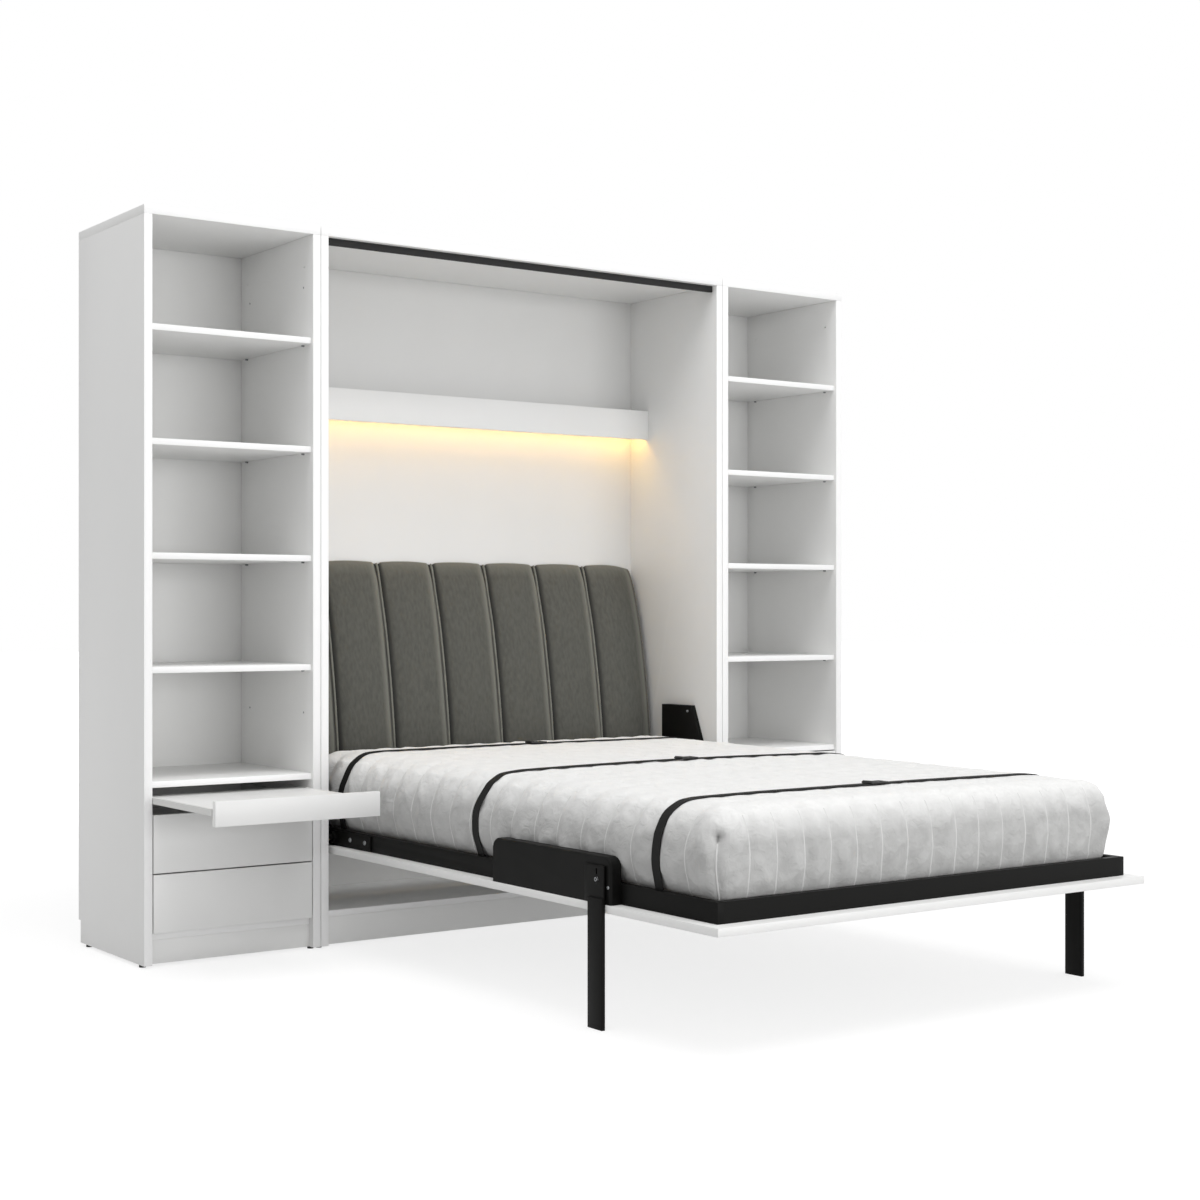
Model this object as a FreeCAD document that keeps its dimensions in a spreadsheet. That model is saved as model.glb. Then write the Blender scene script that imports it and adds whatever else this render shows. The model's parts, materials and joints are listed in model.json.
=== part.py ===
import FreeCAD, Part
import math
import os
import re
import Sketcher
from FreeCAD import Placement, Rotation, Vector

# Wall bed: a double bed that folds up into a centre cabinet, with a bookcase on each side of it.
# Millimetres, +Z up, +X to the right as seen from the room, +Y towards the wall.
# The origin lies on the floor, in the middle of the space that the cabinets and the open bed cover.

# Driving dimensions. Each is written once, and every piece takes its size and place from them.
SIZES = {
    # Cabinets and their boards
    "cabinet_depth": 485,
    "bookcase_width": 560,
    "case_gap": 2,
    "side_board": 25,
    "top_board": 25,
    "back_board": 12,
    "shelf_board": 18,
    "foot_height": 8,
    "foot_radius": 10,
    "foot_inset": 40,
    "plinth_recess": 25,
    "centre_floor_top": 108,
    "case_floor_top": 93,
    "skirting_depth": 15,
    "skirting_height": 67,
    "seal_height": 21,
    "seal_thickness": 12,
    "seal_gap": 2,
    # Screws that join each bookcase to the centre cabinet
    "connector_radius": 3,
    "connector_cover": 6,
    "connector_play": 0.1,
    "connector_inset": 60,
    "connector_rise": 177,
    "connector_drop": 150,
    # Wall brackets on the tops, and their screw holes
    "bracket_width": 60,
    "bracket_leg": 40,
    "bracket_sheet": 3,
    "bracket_inset": 150,
    "bracket_hole_radius": 3,
    "bracket_hole_spacing": 36,
    "bracket_hole_height": 24,
    # Bookcase shelves and the pins that carry them
    "fixed_shelf_top": 523,
    "shelf_recess": 12,
    "shelf_side_play": 0.5,
    "shelf_back_play": 0.5,
    "pin_radius": 2.5,
    "pin_sunk": 10,
    "pin_proud": 8,
    "pin_inset": 45,
    "pin_play": 0.05,
    "spare_hole_rise": 215,
    # Pull-out trays and drawers, with their runners
    "front_board": 18,
    "front_gap": 4,
    "tray_front_height": 68,
    "tray_board_drop": 22,
    "runner_width": 12.5,
    "runner_sheet": 1.5,
    "runner_setback": 22,
    "runner_back_gap": 11,
    "runner_overlap": 45,
    "runner_play": 0.3,
    "drawer_bar_height": 30,
    "drawer_bar_rise": 22,
    "drawer_box_height": 122,
    "drawer_box_rise": 14,
    "drawer_wall": 12,
    "drawer_floor": 8,
    # Lit display shelf over the bed
    "display_shelf_top": 1665,
    "display_shelf_depth": 100,
    "fascia_low": 1615,
    "fascia_height": 102,
    "led_width": 12,
    "led_height": 5,
    "led_setback": 20,
    # Upholstered headboard: a wedge of padded channels on the back board
    "headboard_low": 500,
    "headboard_high": 1166,
    "headboard_side_gap": 15,
    "headboard_low_depth": 146,
    "headboard_toe": 18,
    "channel_puff": 20,
    # Bed panel and steel frame
    "bed_clearance": 280,
    "panel_board": 20,
    "panel_gap": 4,
    "panel_side_gap": 14,
    "panel_floor_gap": 12,
    "panel_overhang": 33,
    "foot_overhang": 40,
    "rail_height": 50,
    "rail_thickness": 20,
    "rail_sheet": 2,
    "ledge_width": 25,
    "ledge_sheet": 3,
    "slat_top_rise": 28,
    "slat_thickness": 12,
    "slat_width": 70,
    "slat_margin": 30,
    "slat_play": 1,
    # Mattress, its straps and their buckles
    "mattress_length": 1905,
    "mattress_width": 1372,
    "mattress_thickness": 232,
    "mattress_play": 2,
    "head_reach": 181,
    "mattress_crown": 8,
    "mattress_bulge": 18.5,
    "mattress_corner": 30,
    "mattress_shoulder": 88,
    "mattress_seam": 5,
    "mattress_end_round": 90,
    "mattress_plan_round": 30,
    "strap_width": 30,
    "strap_thickness": 2,
    "strap_gap": 0.3,
    "strap_head_inset": 204,
    "strap_foot_inset": 204,
    "buckle_length": 66,
    "buckle_width": 38,
    "buckle_height": 7,
    "buckle_offset": 15,
    # Fold mechanism at each side of the bed
    "pivot_radius": 10,
    "pivot_play": 0.05,
    "pivot_end_gap": 0.3,
    "plate_sheet": 5,
    "plate_low": 20,
    "plate_toe": 13,
    "plate_heel": 60,
    "plate_back": 190,
    "plate_back_low": 60,
    "plate_high": 320,
    "plate_top_front": 100,
    "plate_knee": 120,
    "cover_depth": 30,
    "cover_sheet": 1.5,
    "cover_low": 26,
    "cover_high": 350,
    "cover_back": 215,
    "cover_front": 15,
    "cover_top_front": 70,
    "cover_knee": 130,
    "facet_width": 44,
    "facet_depth": 15,
    "bed_bracket_sheet": 6,
    "bed_bracket_height": 42,
    "bed_bracket_toe": 217,
    "bed_bracket_heel": 112,
    "boss_radius": 17,
    "boss_length": 8,
    "bolt_first": 102,
    "bolt_pitch": 86,
    "bolt_radius": 4,
    "bolt_head_radius": 7,
    "bolt_head_height": 4,
    "bolt_tail": 14,
    "bolt_play": 0.2,
    # Gas springs inside the hinge covers
    "anchor_y": 130,
    "anchor_z": 300,
    "stud_y": 90,
    "stud_radius": 5,
    "stud_play": 0.05,
    "stud_end_gap": 0.3,
    "gas_inset": 17,
    "gas_radius": 9,
    "gas_bore": 7,
    "gas_low_end": 190,
    "gas_high_end": 14,
    "gland_length": 12,
    "gas_eye_radius": 11,
    "gas_eye_width": 10,
    "gas_rod_radius": 4,
    "gas_rod_length": 250,
    "gas_rod_play": 0.05,
    "piston_play": 0.1,
    "piston_length": 10,
    "rod_eye_radius": 10,
    "rod_eye_width": 10,
    # Folding legs and the housings that cover them
    "left_leg_reach": 1350,
    "right_leg_reach": 1553,
    "leg_pivot_height": 359,
    "leg_gap": 1.5,
    "leg_thickness": 11,
    "leg_width": 57,
    "leg_plate_sheet": 5,
    "leg_plate_step": 20,
    "leg_plate_high": 34,
    "leg_plate_low": 56,
    "leg_lap": 12,
    "leg_pin_radius": 6,
    "leg_pin_play": 0.05,
    "leg_pin_length": 12,
    "leg_bolt_radius": 7,
    "leg_bolt_height": 3,
    "leg_slot_width": 5,
    "leg_slot_length": 14,
    "leg_slot_rise": 12,
    "housing_inset": 1,
    "housing_sheet": 2.5,
    "housing_height": 115,
    "housing_toe": 47,
    "housing_length": 506,
    "housing_round": 28,
    "housing_edge_round": 6,
    # One overrun for every cut that passes right through
    "overrun": 5,
}

# Counts of repeated pieces, and the shares of a size that shape a soft piece.
ADJUSTABLE_SHELVES = 4
SLATS = 14
STRAPS = 3
HEADBOARD_CHANNELS = 7
MATTRESS_CHANNELS = 17
CHANNEL_CREST_SHARES = (0.22, 0.78)
END_DEPTH_SHARES = (0.0, 0.06, 0.22, 0.5)
ROUND_SHARE = 0.7071
# The headboard's front from its top down: shares of its height, with shares of its depth at the mattress.
HEADBOARD_PROFILE_SHARES = (
    (1.0, 0.0), (0.98, 0.13), (0.935, 0.215), (0.86, 0.3), (0.72, 0.42), (0.45, 0.65), (0.18, 0.865),
)
SEAM_FULL_SHARE = 0.25

# Places worked out from the driving dimensions.
PLACES = {
    "half_bed": "mattress_width / 2 + mattress_play",
    "half_frame": "half_bed + rail_thickness",
    "half_panel": "half_frame + panel_overhang",
    "half_inner": "half_panel + panel_side_gap",
    "half_centre": "half_inner + side_board",
    "half_total": "half_centre + case_gap + bookcase_width",
    "case_low_x": "-(half_total - side_board)",
    "case_high_x": "-(half_centre + case_gap + side_board)",
    "case_width": "bookcase_width - 2 * side_board",
    "pivot_setback": "panel_board + rail_height / 2",
    "pivot_z": "bed_clearance + pivot_setback",
    "panel_foot": "mattress_length - head_reach + mattress_play + rail_thickness + foot_overhang",
    "under_top": "pivot_z + panel_foot + panel_gap",
    "total_height": "under_top + top_board",
    "side_height": "under_top - foot_height",
    "panel_head": "pivot_z - centre_floor_top - panel_floor_gap",
    "wall_y": "(panel_foot - pivot_setback + cabinet_depth) / 2",
    "front_y": "wall_y - cabinet_depth",
    "back_y": "wall_y - back_board",
    "pivot_y": "front_y + pivot_setback",
    "inner_depth": "cabinet_depth - back_board",
    "centre_floor_low": "centre_floor_top - shelf_board",
    "case_floor_low": "case_floor_top - shelf_board",
    "shelf_depth": "inner_depth - shelf_recess - shelf_back_play",
    "shelf_y": "front_y + shelf_recess",
    "fixed_shelf_low": "fixed_shelf_top - shelf_board",
    "shelf_pitch": f"(under_top - fixed_shelf_low) / {ADJUSTABLE_SHELVES + 1}",
    "runner_length": "inner_depth - runner_setback - runner_back_gap",
    "tray_pull": "runner_length - runner_overlap",
    "tray_front_low": "fixed_shelf_low - front_gap - tray_front_height",
    "tray_board_low": "fixed_shelf_low - front_gap - tray_board_drop - shelf_board",
    "drawer_low": "case_floor_top + front_gap",
    "drawer_height": "(tray_front_low - 2 * front_gap - drawer_low) / 2",
    "front_width": "case_width - 2 * front_gap",
    "slide_width": "case_width - 2 * runner_width",
    "slide_x": "case_low_x + runner_width",
    "panel_top": "bed_clearance + panel_board",
    "frame_foot_y": "pivot_y - panel_foot + foot_overhang",
    "mattress_foot_y": "frame_foot_y + rail_thickness + mattress_play",
    "mattress_head_y": "mattress_foot_y + mattress_length",
    "frame_head_y": "mattress_head_y + mattress_play + rail_thickness",
    "slat_top": "panel_top + slat_top_rise",
    "mattress_top": "slat_top + mattress_thickness",
    "strap_pitch": f"(mattress_length - strap_head_inset - strap_foot_inset) / {STRAPS - 1}",
    "strap_top": "mattress_top + mattress_crown + strap_gap + strap_thickness",
    "cover_clear": "half_inner - half_frame",
    "gas_x": "-(half_inner - gas_inset)",
    "gas_length": "sqrt((anchor_y - stud_y)^2 + anchor_z^2)",
    "gas_tilt": "-atan((anchor_y - stud_y) / anchor_z)",
    "left_leg_y": "pivot_y - left_leg_reach",
    "right_leg_y": "pivot_y - right_leg_reach",
    "leg_x": "-(half_panel + leg_gap)",
}

doc = FreeCAD.newDocument("WallBed")
sizes = doc.addObject("Spreadsheet::Sheet", "Sizes")
places = doc.addObject("Spreadsheet::Sheet", "Places")
nodes = []


def bind(text, own=()):
    """The same sum as an expression: each named value gets the name of the sheet that holds it."""
    def cell(match):
        word = match.group()
        if word in SIZES:
            return "Sizes." + word
        if word in PLACES and word not in own:
            return "Places." + word
        return word
    return re.sub(r"[a-z][a-z_]*", cell, text)


def fill(sheet, table, own=()):
    """Name every cell first, then write its number or its sum."""
    for row, name in enumerate(table, 1):
        sheet.set(f"A{row}", name)
        sheet.setAlias(f"B{row}", name)
    for row, value in enumerate(table.values(), 1):
        is_sum = isinstance(value, str)
        sheet.set(f"B{row}", "=" + bind(value, own) if is_sum else str(value))


fill(sizes, SIZES)
fill(places, PLACES, own=PLACES)
doc.recompute()


def num(name):
    """The number in a named cell, for the shapes that are computed here."""
    return float(getattr(sizes if name in SIZES else places, name))


# Helpers: each makes one object whose sizes and place are expressions of the sheets.
ALONG = {
    "x": Rotation(Vector(0, 0, 1), Vector(1, 0, 0)),
    "y": Rotation(Vector(0, 0, 1), Vector(0, 1, 0)),
    "z": Rotation(),
}


def put(piece, at):
    for axis, text in zip("xyz", at):
        piece.setExpression("Placement.Base." + axis, bind(text))
    return piece


def board(size, at):
    """A rectangular piece: size and low corner, each in x, y, z."""
    box = doc.addObject("Part::Box", "Board")
    for side, text in zip(("Length", "Width", "Height"), size):
        box.setExpression(side, bind(text))
    return put(box, at)


def rod(radius, length, at, along="x"):
    """A round piece that runs from a point along +x, +y or +z."""
    cylinder = doc.addObject("Part::Cylinder", "Rod")
    cylinder.setExpression("Radius", bind(radius))
    cylinder.setExpression("Height", bind(length))
    cylinder.Placement = Placement(Vector(), ALONG[along])
    return put(cylinder, at)


def group(*pieces):
    together = doc.addObject("Part::Compound", "Group")
    together.Links = list(pieces)
    return together


def fuse(*pieces):
    joined = doc.addObject("Part::MultiFuse", "Joined")
    joined.Shapes = list(pieces)
    return joined


def cut(base, *tools):
    opened = doc.addObject("Part::Cut", "Opened")
    opened.Base = base
    opened.Tool = tools[0] if len(tools) == 1 else group(*tools)
    return opened


def mirror(piece):
    """The same piece on the other side of the bed."""
    other = doc.addObject("Part::Mirroring", "Mirror")
    other.Source = piece
    other.Base = Vector(0, 0, 0)
    other.Normal = Vector(1, 0, 0)
    return other


def node(label, *pieces):
    """Name a finished piece, or a set of like pieces, and list it for export."""
    piece = pieces[0] if len(pieces) == 1 else group(*pieces)
    piece.Label = label
    nodes.append(piece)
    return piece


def pair(label, piece):
    return node(label, piece, mirror(piece))


def body(at):
    return put(doc.addObject("PartDesign::Body", "Body"), at)


def sketch_on_side(piece):
    """A sketch on the body's YZ plane: across is y, up is z."""
    sketch = piece.newObject("Sketcher::SketchObject", "Outline")
    plane = next(f for f in piece.Origin.OriginFeatures if f.Role == "YZ_Plane")
    sketch.AttachmentSupport = (plane, [""])
    sketch.MapMode = "FlatFace"
    return sketch


def hold(sketch, kind, first, value):
    """Add one dimension to a sketch and tie it to the sheets."""
    index = sketch.addConstraint(Sketcher.Constraint(kind, *first, 1.0))
    sketch.setExpression(f"Constraints[{index}]", bind(value))


def outline(piece, corners):
    """A closed outline of straight sides, each corner held by two dimensions."""
    sketch = sketch_on_side(piece)
    count = len(corners)
    for index in range(count):
        start = Vector(index, index * index, 0)
        end = Vector(index + 1, (index + 1) ** 2, 0)
        sketch.addGeometry(Part.LineSegment(start, end))
    for index in range(count):
        sketch.addConstraint(Sketcher.Constraint("Coincident", index, 2, (index + 1) % count, 1))
    for index, (across, up) in enumerate(corners):
        hold(sketch, "DistanceX", (-1, 1, index, 1), across)
        hold(sketch, "DistanceY", (-1, 1, index, 1), up)
    return sketch


def disc(piece, radius, across, up):
    sketch = sketch_on_side(piece)
    sketch.addGeometry(Part.Circle(Vector(), Vector(0, 0, 1), 1))
    hold(sketch, "Radius", (0,), radius)
    hold(sketch, "DistanceX", (-1, 1, 0, 3), across)
    hold(sketch, "DistanceY", (-1, 1, 0, 3), up)
    return sketch


def pad(piece, sketch, length, to_wall=False):
    """Raise a sketch by a length: away from the wall side, or towards it."""
    feature = piece.newObject("PartDesign::Pad", "Pad")
    feature.Profile = sketch
    feature.setExpression("Length", bind(length))
    feature.Reversed = to_wall
    return feature


def pocket(piece, sketch, length):
    """Cut a sketch out towards the wall side, and make sure that it took something away."""
    before = piece.Tip
    doc.recompute()
    feature = piece.newObject("PartDesign::Pocket", "Pocket")
    feature.Profile = sketch
    feature.setExpression("Length", bind(length))
    doc.recompute()
    if feature.Shape.Volume >= before.Shape.Volume:
        raise SystemExit(f"a pocket in {piece.Name} cuts nothing")
    return feature


def edges_where(feature, test):
    return [f"Edge{i}" for i, edge in enumerate(feature.Shape.Edges, 1) if test(edge)]


def shell(piece, sheet, open_face):
    """Hollow the body to a sheet thickness, open at the faces that pass the test."""
    doc.recompute()
    base = piece.Tip
    faces = [f"Face{i}" for i, f in enumerate(base.Shape.Faces, 1) if open_face(f.normalAt(0, 0))]
    feature = piece.newObject("PartDesign::Thickness", "Shell")
    feature.Base = (base, faces)
    feature.setExpression("Value", bind(sheet))
    feature.Reversed = True
    return feature


# Centre cabinet: the box that the bed folds into
def side_panel(at_x, *holes):
    """A tall side board, notched at its back foot for the room's skirting."""
    plain = board(("side_board", "cabinet_depth", "side_height"), (at_x, "front_y", "foot_height"))
    notch = board(
        ("side_board + 2 * overrun", "skirting_depth + overrun", "skirting_height + overrun"),
        (at_x + " - overrun", "wall_y - skirting_depth", "foot_height - overrun"),
    )
    return cut(plain, notch, *holes)


def joining_rods(radius, overrun):
    """Round pieces through a bookcase side and into the centre side next to it, at the joining screws."""
    depths = ("front_y + connector_inset", "back_y - connector_inset")
    heights = ("fixed_shelf_top + connector_rise", "under_top - connector_drop")
    length = f"2 * side_board + case_gap - connector_cover + {overrun}"
    return [rod(radius, length, (f"case_high_x - {overrun}", y, z)) for y in depths for z in heights]


def centre_cabinet():
    left = side_panel("-half_centre", *joining_rods("connector_radius + connector_play", "overrun"))
    node("centre_left_side", left)
    node("centre_right_side", mirror(left))
    node("centre_top", board(
        ("2 * half_centre", "cabinet_depth", "top_board"),
        ("-half_centre", "front_y", "under_top"),
    ))
    node("centre_back", board(
        ("2 * half_inner", "back_board", "under_top - centre_floor_low"),
        ("-half_inner", "back_y", "centre_floor_low"),
    ))
    node("centre_floor", board(
        ("2 * half_inner", "inner_depth - plinth_recess", "shelf_board"),
        ("-half_inner", "front_y + plinth_recess", "centre_floor_low"),
    ))
    node("top_seal", board(
        ("2 * half_inner", "seal_thickness", "seal_height"),
        ("-half_inner", "front_y + panel_board + seal_gap", "under_top - seal_height"),
    ))


def plinths():
    under_centre = board(
        ("2 * half_inner", "shelf_board", "centre_floor_low - foot_height"),
        ("-half_inner", "front_y + plinth_recess", "foot_height"),
    )
    under_case = board(
        ("case_width", "shelf_board", "case_floor_low - foot_height"),
        ("case_low_x", "front_y + plinth_recess", "foot_height"),
    )
    node("plinths", under_centre, under_case, mirror(under_case))


def glide_feet():
    """A plastic glide under the front and the back of every tall side."""
    middles = (
        "-(half_total - side_board / 2)",
        "-(half_centre + case_gap + side_board / 2)",
        "-(half_centre - side_board / 2)",
    )
    depths = ("front_y + foot_inset", "wall_y - skirting_depth - foot_inset")
    feet = [rod("foot_radius", "foot_height", (x, y, "0"), "z") for x in middles for y in depths]
    node("glide_feet", *feet, *[mirror(foot) for foot in feet])


def wall_brackets():
    """Steel angles that tie the tops to the wall, each with two screw holes in its upright leg."""
    brackets = []
    for middle in ("-(half_inner - bracket_inset)", "-(half_total - bookcase_width / 2)"):
        low_x = middle + " - bracket_width / 2"
        flat = board(
            ("bracket_width", "bracket_leg", "bracket_sheet"),
            (low_x, "wall_y - bracket_leg", "total_height"),
        )
        upright = board(
            ("bracket_width", "bracket_sheet", "bracket_leg"),
            (low_x, "wall_y - bracket_sheet", "total_height"),
        )
        holes = [
            rod(
                "bracket_hole_radius",
                "bracket_sheet + 2 * overrun",
                (
                    f"{middle} {sign} bracket_hole_spacing / 2",
                    "wall_y - bracket_sheet - overrun",
                    "total_height + bracket_hole_height",
                ),
                "y",
            )
            for sign in "-+"
        ]
        brackets.append(cut(fuse(flat, upright), *holes))
    node("wall_brackets", *brackets, *[mirror(bracket) for bracket in brackets])


def display_shelf():
    """A shallow shelf over the bed, with a fascia that hides a light strip under it."""
    node("display_shelf", board(
        ("2 * half_inner", "display_shelf_depth - shelf_board", "shelf_board"),
        ("-half_inner", "back_y - display_shelf_depth + shelf_board", "display_shelf_top - shelf_board"),
    ))
    node("display_fascia", board(
        ("2 * half_inner", "shelf_board", "fascia_height"),
        ("-half_inner", "back_y - display_shelf_depth", "fascia_low"),
    ))
    node("led_strip", board(
        ("2 * (half_inner - led_setback)", "led_width", "led_height"),
        (
            "-(half_inner - led_setback)",
            "back_y - display_shelf_depth + shelf_board + led_setback",
            "display_shelf_top - shelf_board - led_height",
        ),
    ))


# Bookcases: built on the left and mirrored to the right
SHELF_STEPS = range(1, ADJUSTABLE_SHELVES + 1)
PIN_ROWS = ("shelf_y + pin_inset", "shelf_y + shelf_depth - pin_inset")


def pin_heights():
    """The centre height of each row of pins: a pin carries its shelf from below."""
    return [f"fixed_shelf_top + {step} * shelf_pitch - shelf_board - pin_radius" for step in SHELF_STEPS]


def pin_holes(low_x):
    """Blind holes for the pins, and a spare pair over the top shelf."""
    spare = f"fixed_shelf_top + {ADJUSTABLE_SHELVES} * shelf_pitch + spare_hole_rise"
    heights = pin_heights() + [spare]
    radius = "pin_radius + pin_play"
    return [rod(radius, "pin_sunk + overrun", (low_x, y, z)) for y in PIN_ROWS for z in heights]


def bookcases():
    pair("bookcase_outer_sides", side_panel("-half_total", *pin_holes("case_low_x - pin_sunk")))
    joints = joining_rods("connector_radius + connector_play", "overrun")
    pair("bookcase_inner_sides", side_panel("case_high_x", *pin_holes("case_high_x - overrun"), *joints))
    screws = joining_rods("connector_radius", "0")
    node("joining_screws", *screws, *[mirror(screw) for screw in screws])
    pair("bookcase_tops", board(
        ("bookcase_width", "cabinet_depth", "top_board"),
        ("-half_total", "front_y", "under_top"),
    ))
    pair("bookcase_backs", board(
        ("case_width", "back_board", "under_top - case_floor_low"),
        ("case_low_x", "back_y", "case_floor_low"),
    ))
    pair("bookcase_floors", board(
        ("case_width", "inner_depth - plinth_recess", "shelf_board"),
        ("case_low_x", "front_y + plinth_recess", "case_floor_low"),
    ))
    pair("fixed_shelves", board(
        ("case_width", "inner_depth - shelf_recess", "shelf_board"),
        ("case_low_x", "shelf_y", "fixed_shelf_low"),
    ))
    shelves = [
        board(
            ("case_width - 2 * shelf_side_play", "shelf_depth", "shelf_board"),
            ("case_low_x + shelf_side_play", "shelf_y", f"fixed_shelf_low + {step} * shelf_pitch"),
        )
        for step in SHELF_STEPS
    ]
    node("adjustable_shelves", *shelves, *[mirror(shelf) for shelf in shelves])
    length = "pin_sunk + pin_proud"
    ends = ("case_low_x - pin_sunk", "case_high_x - pin_proud")
    pins = [rod("pin_radius", length, (x, y, z)) for x in ends for y in PIN_ROWS for z in pin_heights()]
    node("shelf_pins", *pins, *[mirror(pin) for pin in pins])


# Trays and drawers: each slides on a bar at either side, inside a channel on the bookcase
TRAY_BAR = ("shelf_board", "tray_board_low")


def drawer_bar(tier):
    return "drawer_bar_height", f"{drawer_base(tier)} + drawer_box_rise + drawer_bar_rise"


def drawer_base(tier):
    return f"drawer_low + {tier} * (drawer_height + front_gap)"


def channels(height, low_z):
    """The two fixed channels for one tray or drawer, as wide as the runner less the bar's stand-off."""
    reach = "runner_width - runner_play"
    made = []
    for low_x, hollow_x in (
        ("case_low_x", "case_low_x + runner_sheet"),
        ("case_high_x - runner_width + runner_play", "case_high_x - runner_width + runner_play - overrun"),
    ):
        outer = board(
            (reach, "runner_length", f"{height} + 2 * runner_play + 2 * runner_sheet"),
            (low_x, "front_y + runner_setback", f"{low_z} - runner_play - runner_sheet"),
        )
        hollow = board(
            (
                reach + " - runner_sheet + overrun",
                "runner_length + 2 * overrun",
                f"{height} + 2 * runner_play",
            ),
            (hollow_x, "front_y + runner_setback - overrun", f"{low_z} - runner_play"),
        )
        made.append(cut(outer, hollow))
    return made


def bars(height, low_z, pull):
    """The two moving bars, fixed to the sides of one tray or drawer."""
    width = "runner_width - runner_sheet - runner_play"
    y = f"front_y + runner_setback - {pull}"
    return [
        board((width, "runner_length", height), (x, y, low_z))
        for x in ("case_low_x + runner_sheet + runner_play", "case_high_x - runner_width")
    ]


def runner_channels():
    made = channels(*TRAY_BAR) + channels(*drawer_bar(0)) + channels(*drawer_bar(1))
    node("runner_channels", *made, *[mirror(channel) for channel in made])


def front(height, low_z, pull):
    return board(
        ("front_width", "front_board", height),
        ("case_low_x + front_gap", f"front_y - {pull}", low_z),
    )


def on_side(side, piece):
    return mirror(piece) if side == "right" else piece


def tray(side, pull):
    """A pull-out board with a deep front lip."""
    node(f"{side}_tray_front", on_side(side, front("tray_front_height", "tray_front_low", pull)))
    flat = board(
        ("slide_width", "runner_setback - front_board + runner_length", "shelf_board"),
        ("slide_x", f"front_y + front_board - {pull}", "tray_board_low"),
    )
    node(f"{side}_tray_board", on_side(side, flat))
    moving = bars(*TRAY_BAR, pull)
    node(f"{side}_tray_bars", *[on_side(side, bar) for bar in moving])


def drawer(side, tier, word):
    """A plain front on an open-topped box."""
    low = drawer_base(tier)
    node(f"{side}_{word}_drawer_front", on_side(side, front("drawer_height", low, "0")))
    depth = "runner_setback - front_board + runner_length"
    outer = board(
        ("slide_width", depth, "drawer_box_height"),
        ("slide_x", "front_y + front_board", low + " + drawer_box_rise"),
    )
    hollow = board(
        ("slide_width - 2 * drawer_wall", depth + " - 2 * drawer_wall", "drawer_box_height"),
        (
            "slide_x + drawer_wall",
            "front_y + front_board + drawer_wall",
            low + " + drawer_box_rise + drawer_floor",
        ),
    )
    node(f"{side}_{word}_drawer_box", on_side(side, cut(outer, hollow)))
    moving = bars(*drawer_bar(tier), "0")
    node(f"{side}_{word}_drawer_bars", *[on_side(side, bar) for bar in moving])


# Bed: a face panel with a steel frame on it, drawn open, as a door lying on its back
def bed_base():
    node("face_panel", board(
        ("2 * half_panel", "panel_foot + panel_head", "panel_board"),
        ("-half_panel", "pivot_y - panel_foot", "bed_clearance"),
    ))
    tube = cut(
        board(
            ("rail_thickness", "frame_head_y - frame_foot_y", "rail_height"),
            ("-half_frame", "frame_foot_y", "panel_top"),
        ),
        board(
            (
                "rail_thickness - 2 * rail_sheet",
                "frame_head_y - frame_foot_y - rail_sheet + overrun",
                "rail_height - 2 * rail_sheet",
            ),
            ("-half_frame + rail_sheet", "frame_foot_y + rail_sheet", "panel_top + rail_sheet"),
        ),
        *bolt_row("bolt_radius + bolt_play", "rail_sheet + overrun", "-half_frame - overrun"),
    )
    ledge = board(
        ("ledge_width", "mattress_length", "ledge_sheet"),
        ("-half_bed", "mattress_foot_y", "slat_top - slat_thickness - ledge_sheet"),
    )
    pair("side_rails", fuse(tube, ledge))
    for label, low_y in (("foot_rail", "frame_foot_y"), ("head_rail", "frame_head_y - rail_thickness")):
        node(label, cross_rail(low_y))
    pitch = f"(mattress_length - 2 * slat_margin - slat_width) / {SLATS - 1}"
    node("slats", *[
        board(
            ("2 * (half_bed - slat_play)", "slat_width", "slat_thickness"),
            (
                "-half_bed + slat_play",
                f"mattress_foot_y + slat_margin + {step} * {pitch}",
                "slat_top - slat_thickness",
            ),
        )
        for step in range(SLATS)
    ])


def cross_rail(low_y):
    outer = board(("2 * half_bed", "rail_thickness", "rail_height"), ("-half_bed", low_y, "panel_top"))
    hollow = board(
        (
            "2 * half_bed + 2 * overrun",
            "rail_thickness - 2 * rail_sheet",
            "rail_height - 2 * rail_sheet",
        ),
        ("-half_bed - overrun", low_y + " + rail_sheet", "panel_top + rail_sheet"),
    )
    return cut(outer, hollow)


def bolt_row(radius, length, low_x):
    """Round pieces at the two bolts that hold a bed bracket to its rail."""
    return [
        rod(radius, length, (low_x, f"pivot_y - bolt_first - {step} * bolt_pitch", "pivot_z"))
        for step in range(2)
    ]


# Mattress: crowned, with rounded edges, and quilted in channels that run across it
def mattress_side(half, top):
    """Half of the way over the mattress: up a side, round its shoulder. Arcs of under a half circle."""
    shoulder = num("mattress_shoulder")
    low = num("slat_top") + num("mattress_corner")
    round_off = min(shoulder, (top - low) * ROUND_SHARE)
    knee = top - round_off
    lean = ROUND_SHARE * round_off
    side = Part.Arc(
        Vector(half, 0, low),
        Vector(half + num("mattress_bulge"), 0, (low + knee) / 2),
        Vector(half, 0, knee),
    )
    round_over = Part.Arc(
        Vector(half, 0, knee),
        Vector(half - round_off + lean, 0, knee + lean),
        Vector(half - round_off, 0, top),
    )
    return [side.toShape(), round_over.toShape()]


def mirrored_back(edges):
    """The same edges on the other side, in the order that carries the line on."""
    flip = FreeCAD.Matrix()
    flip.A11 = -1
    return [edge.transformGeometry(flip) for edge in reversed(edges)]


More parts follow.
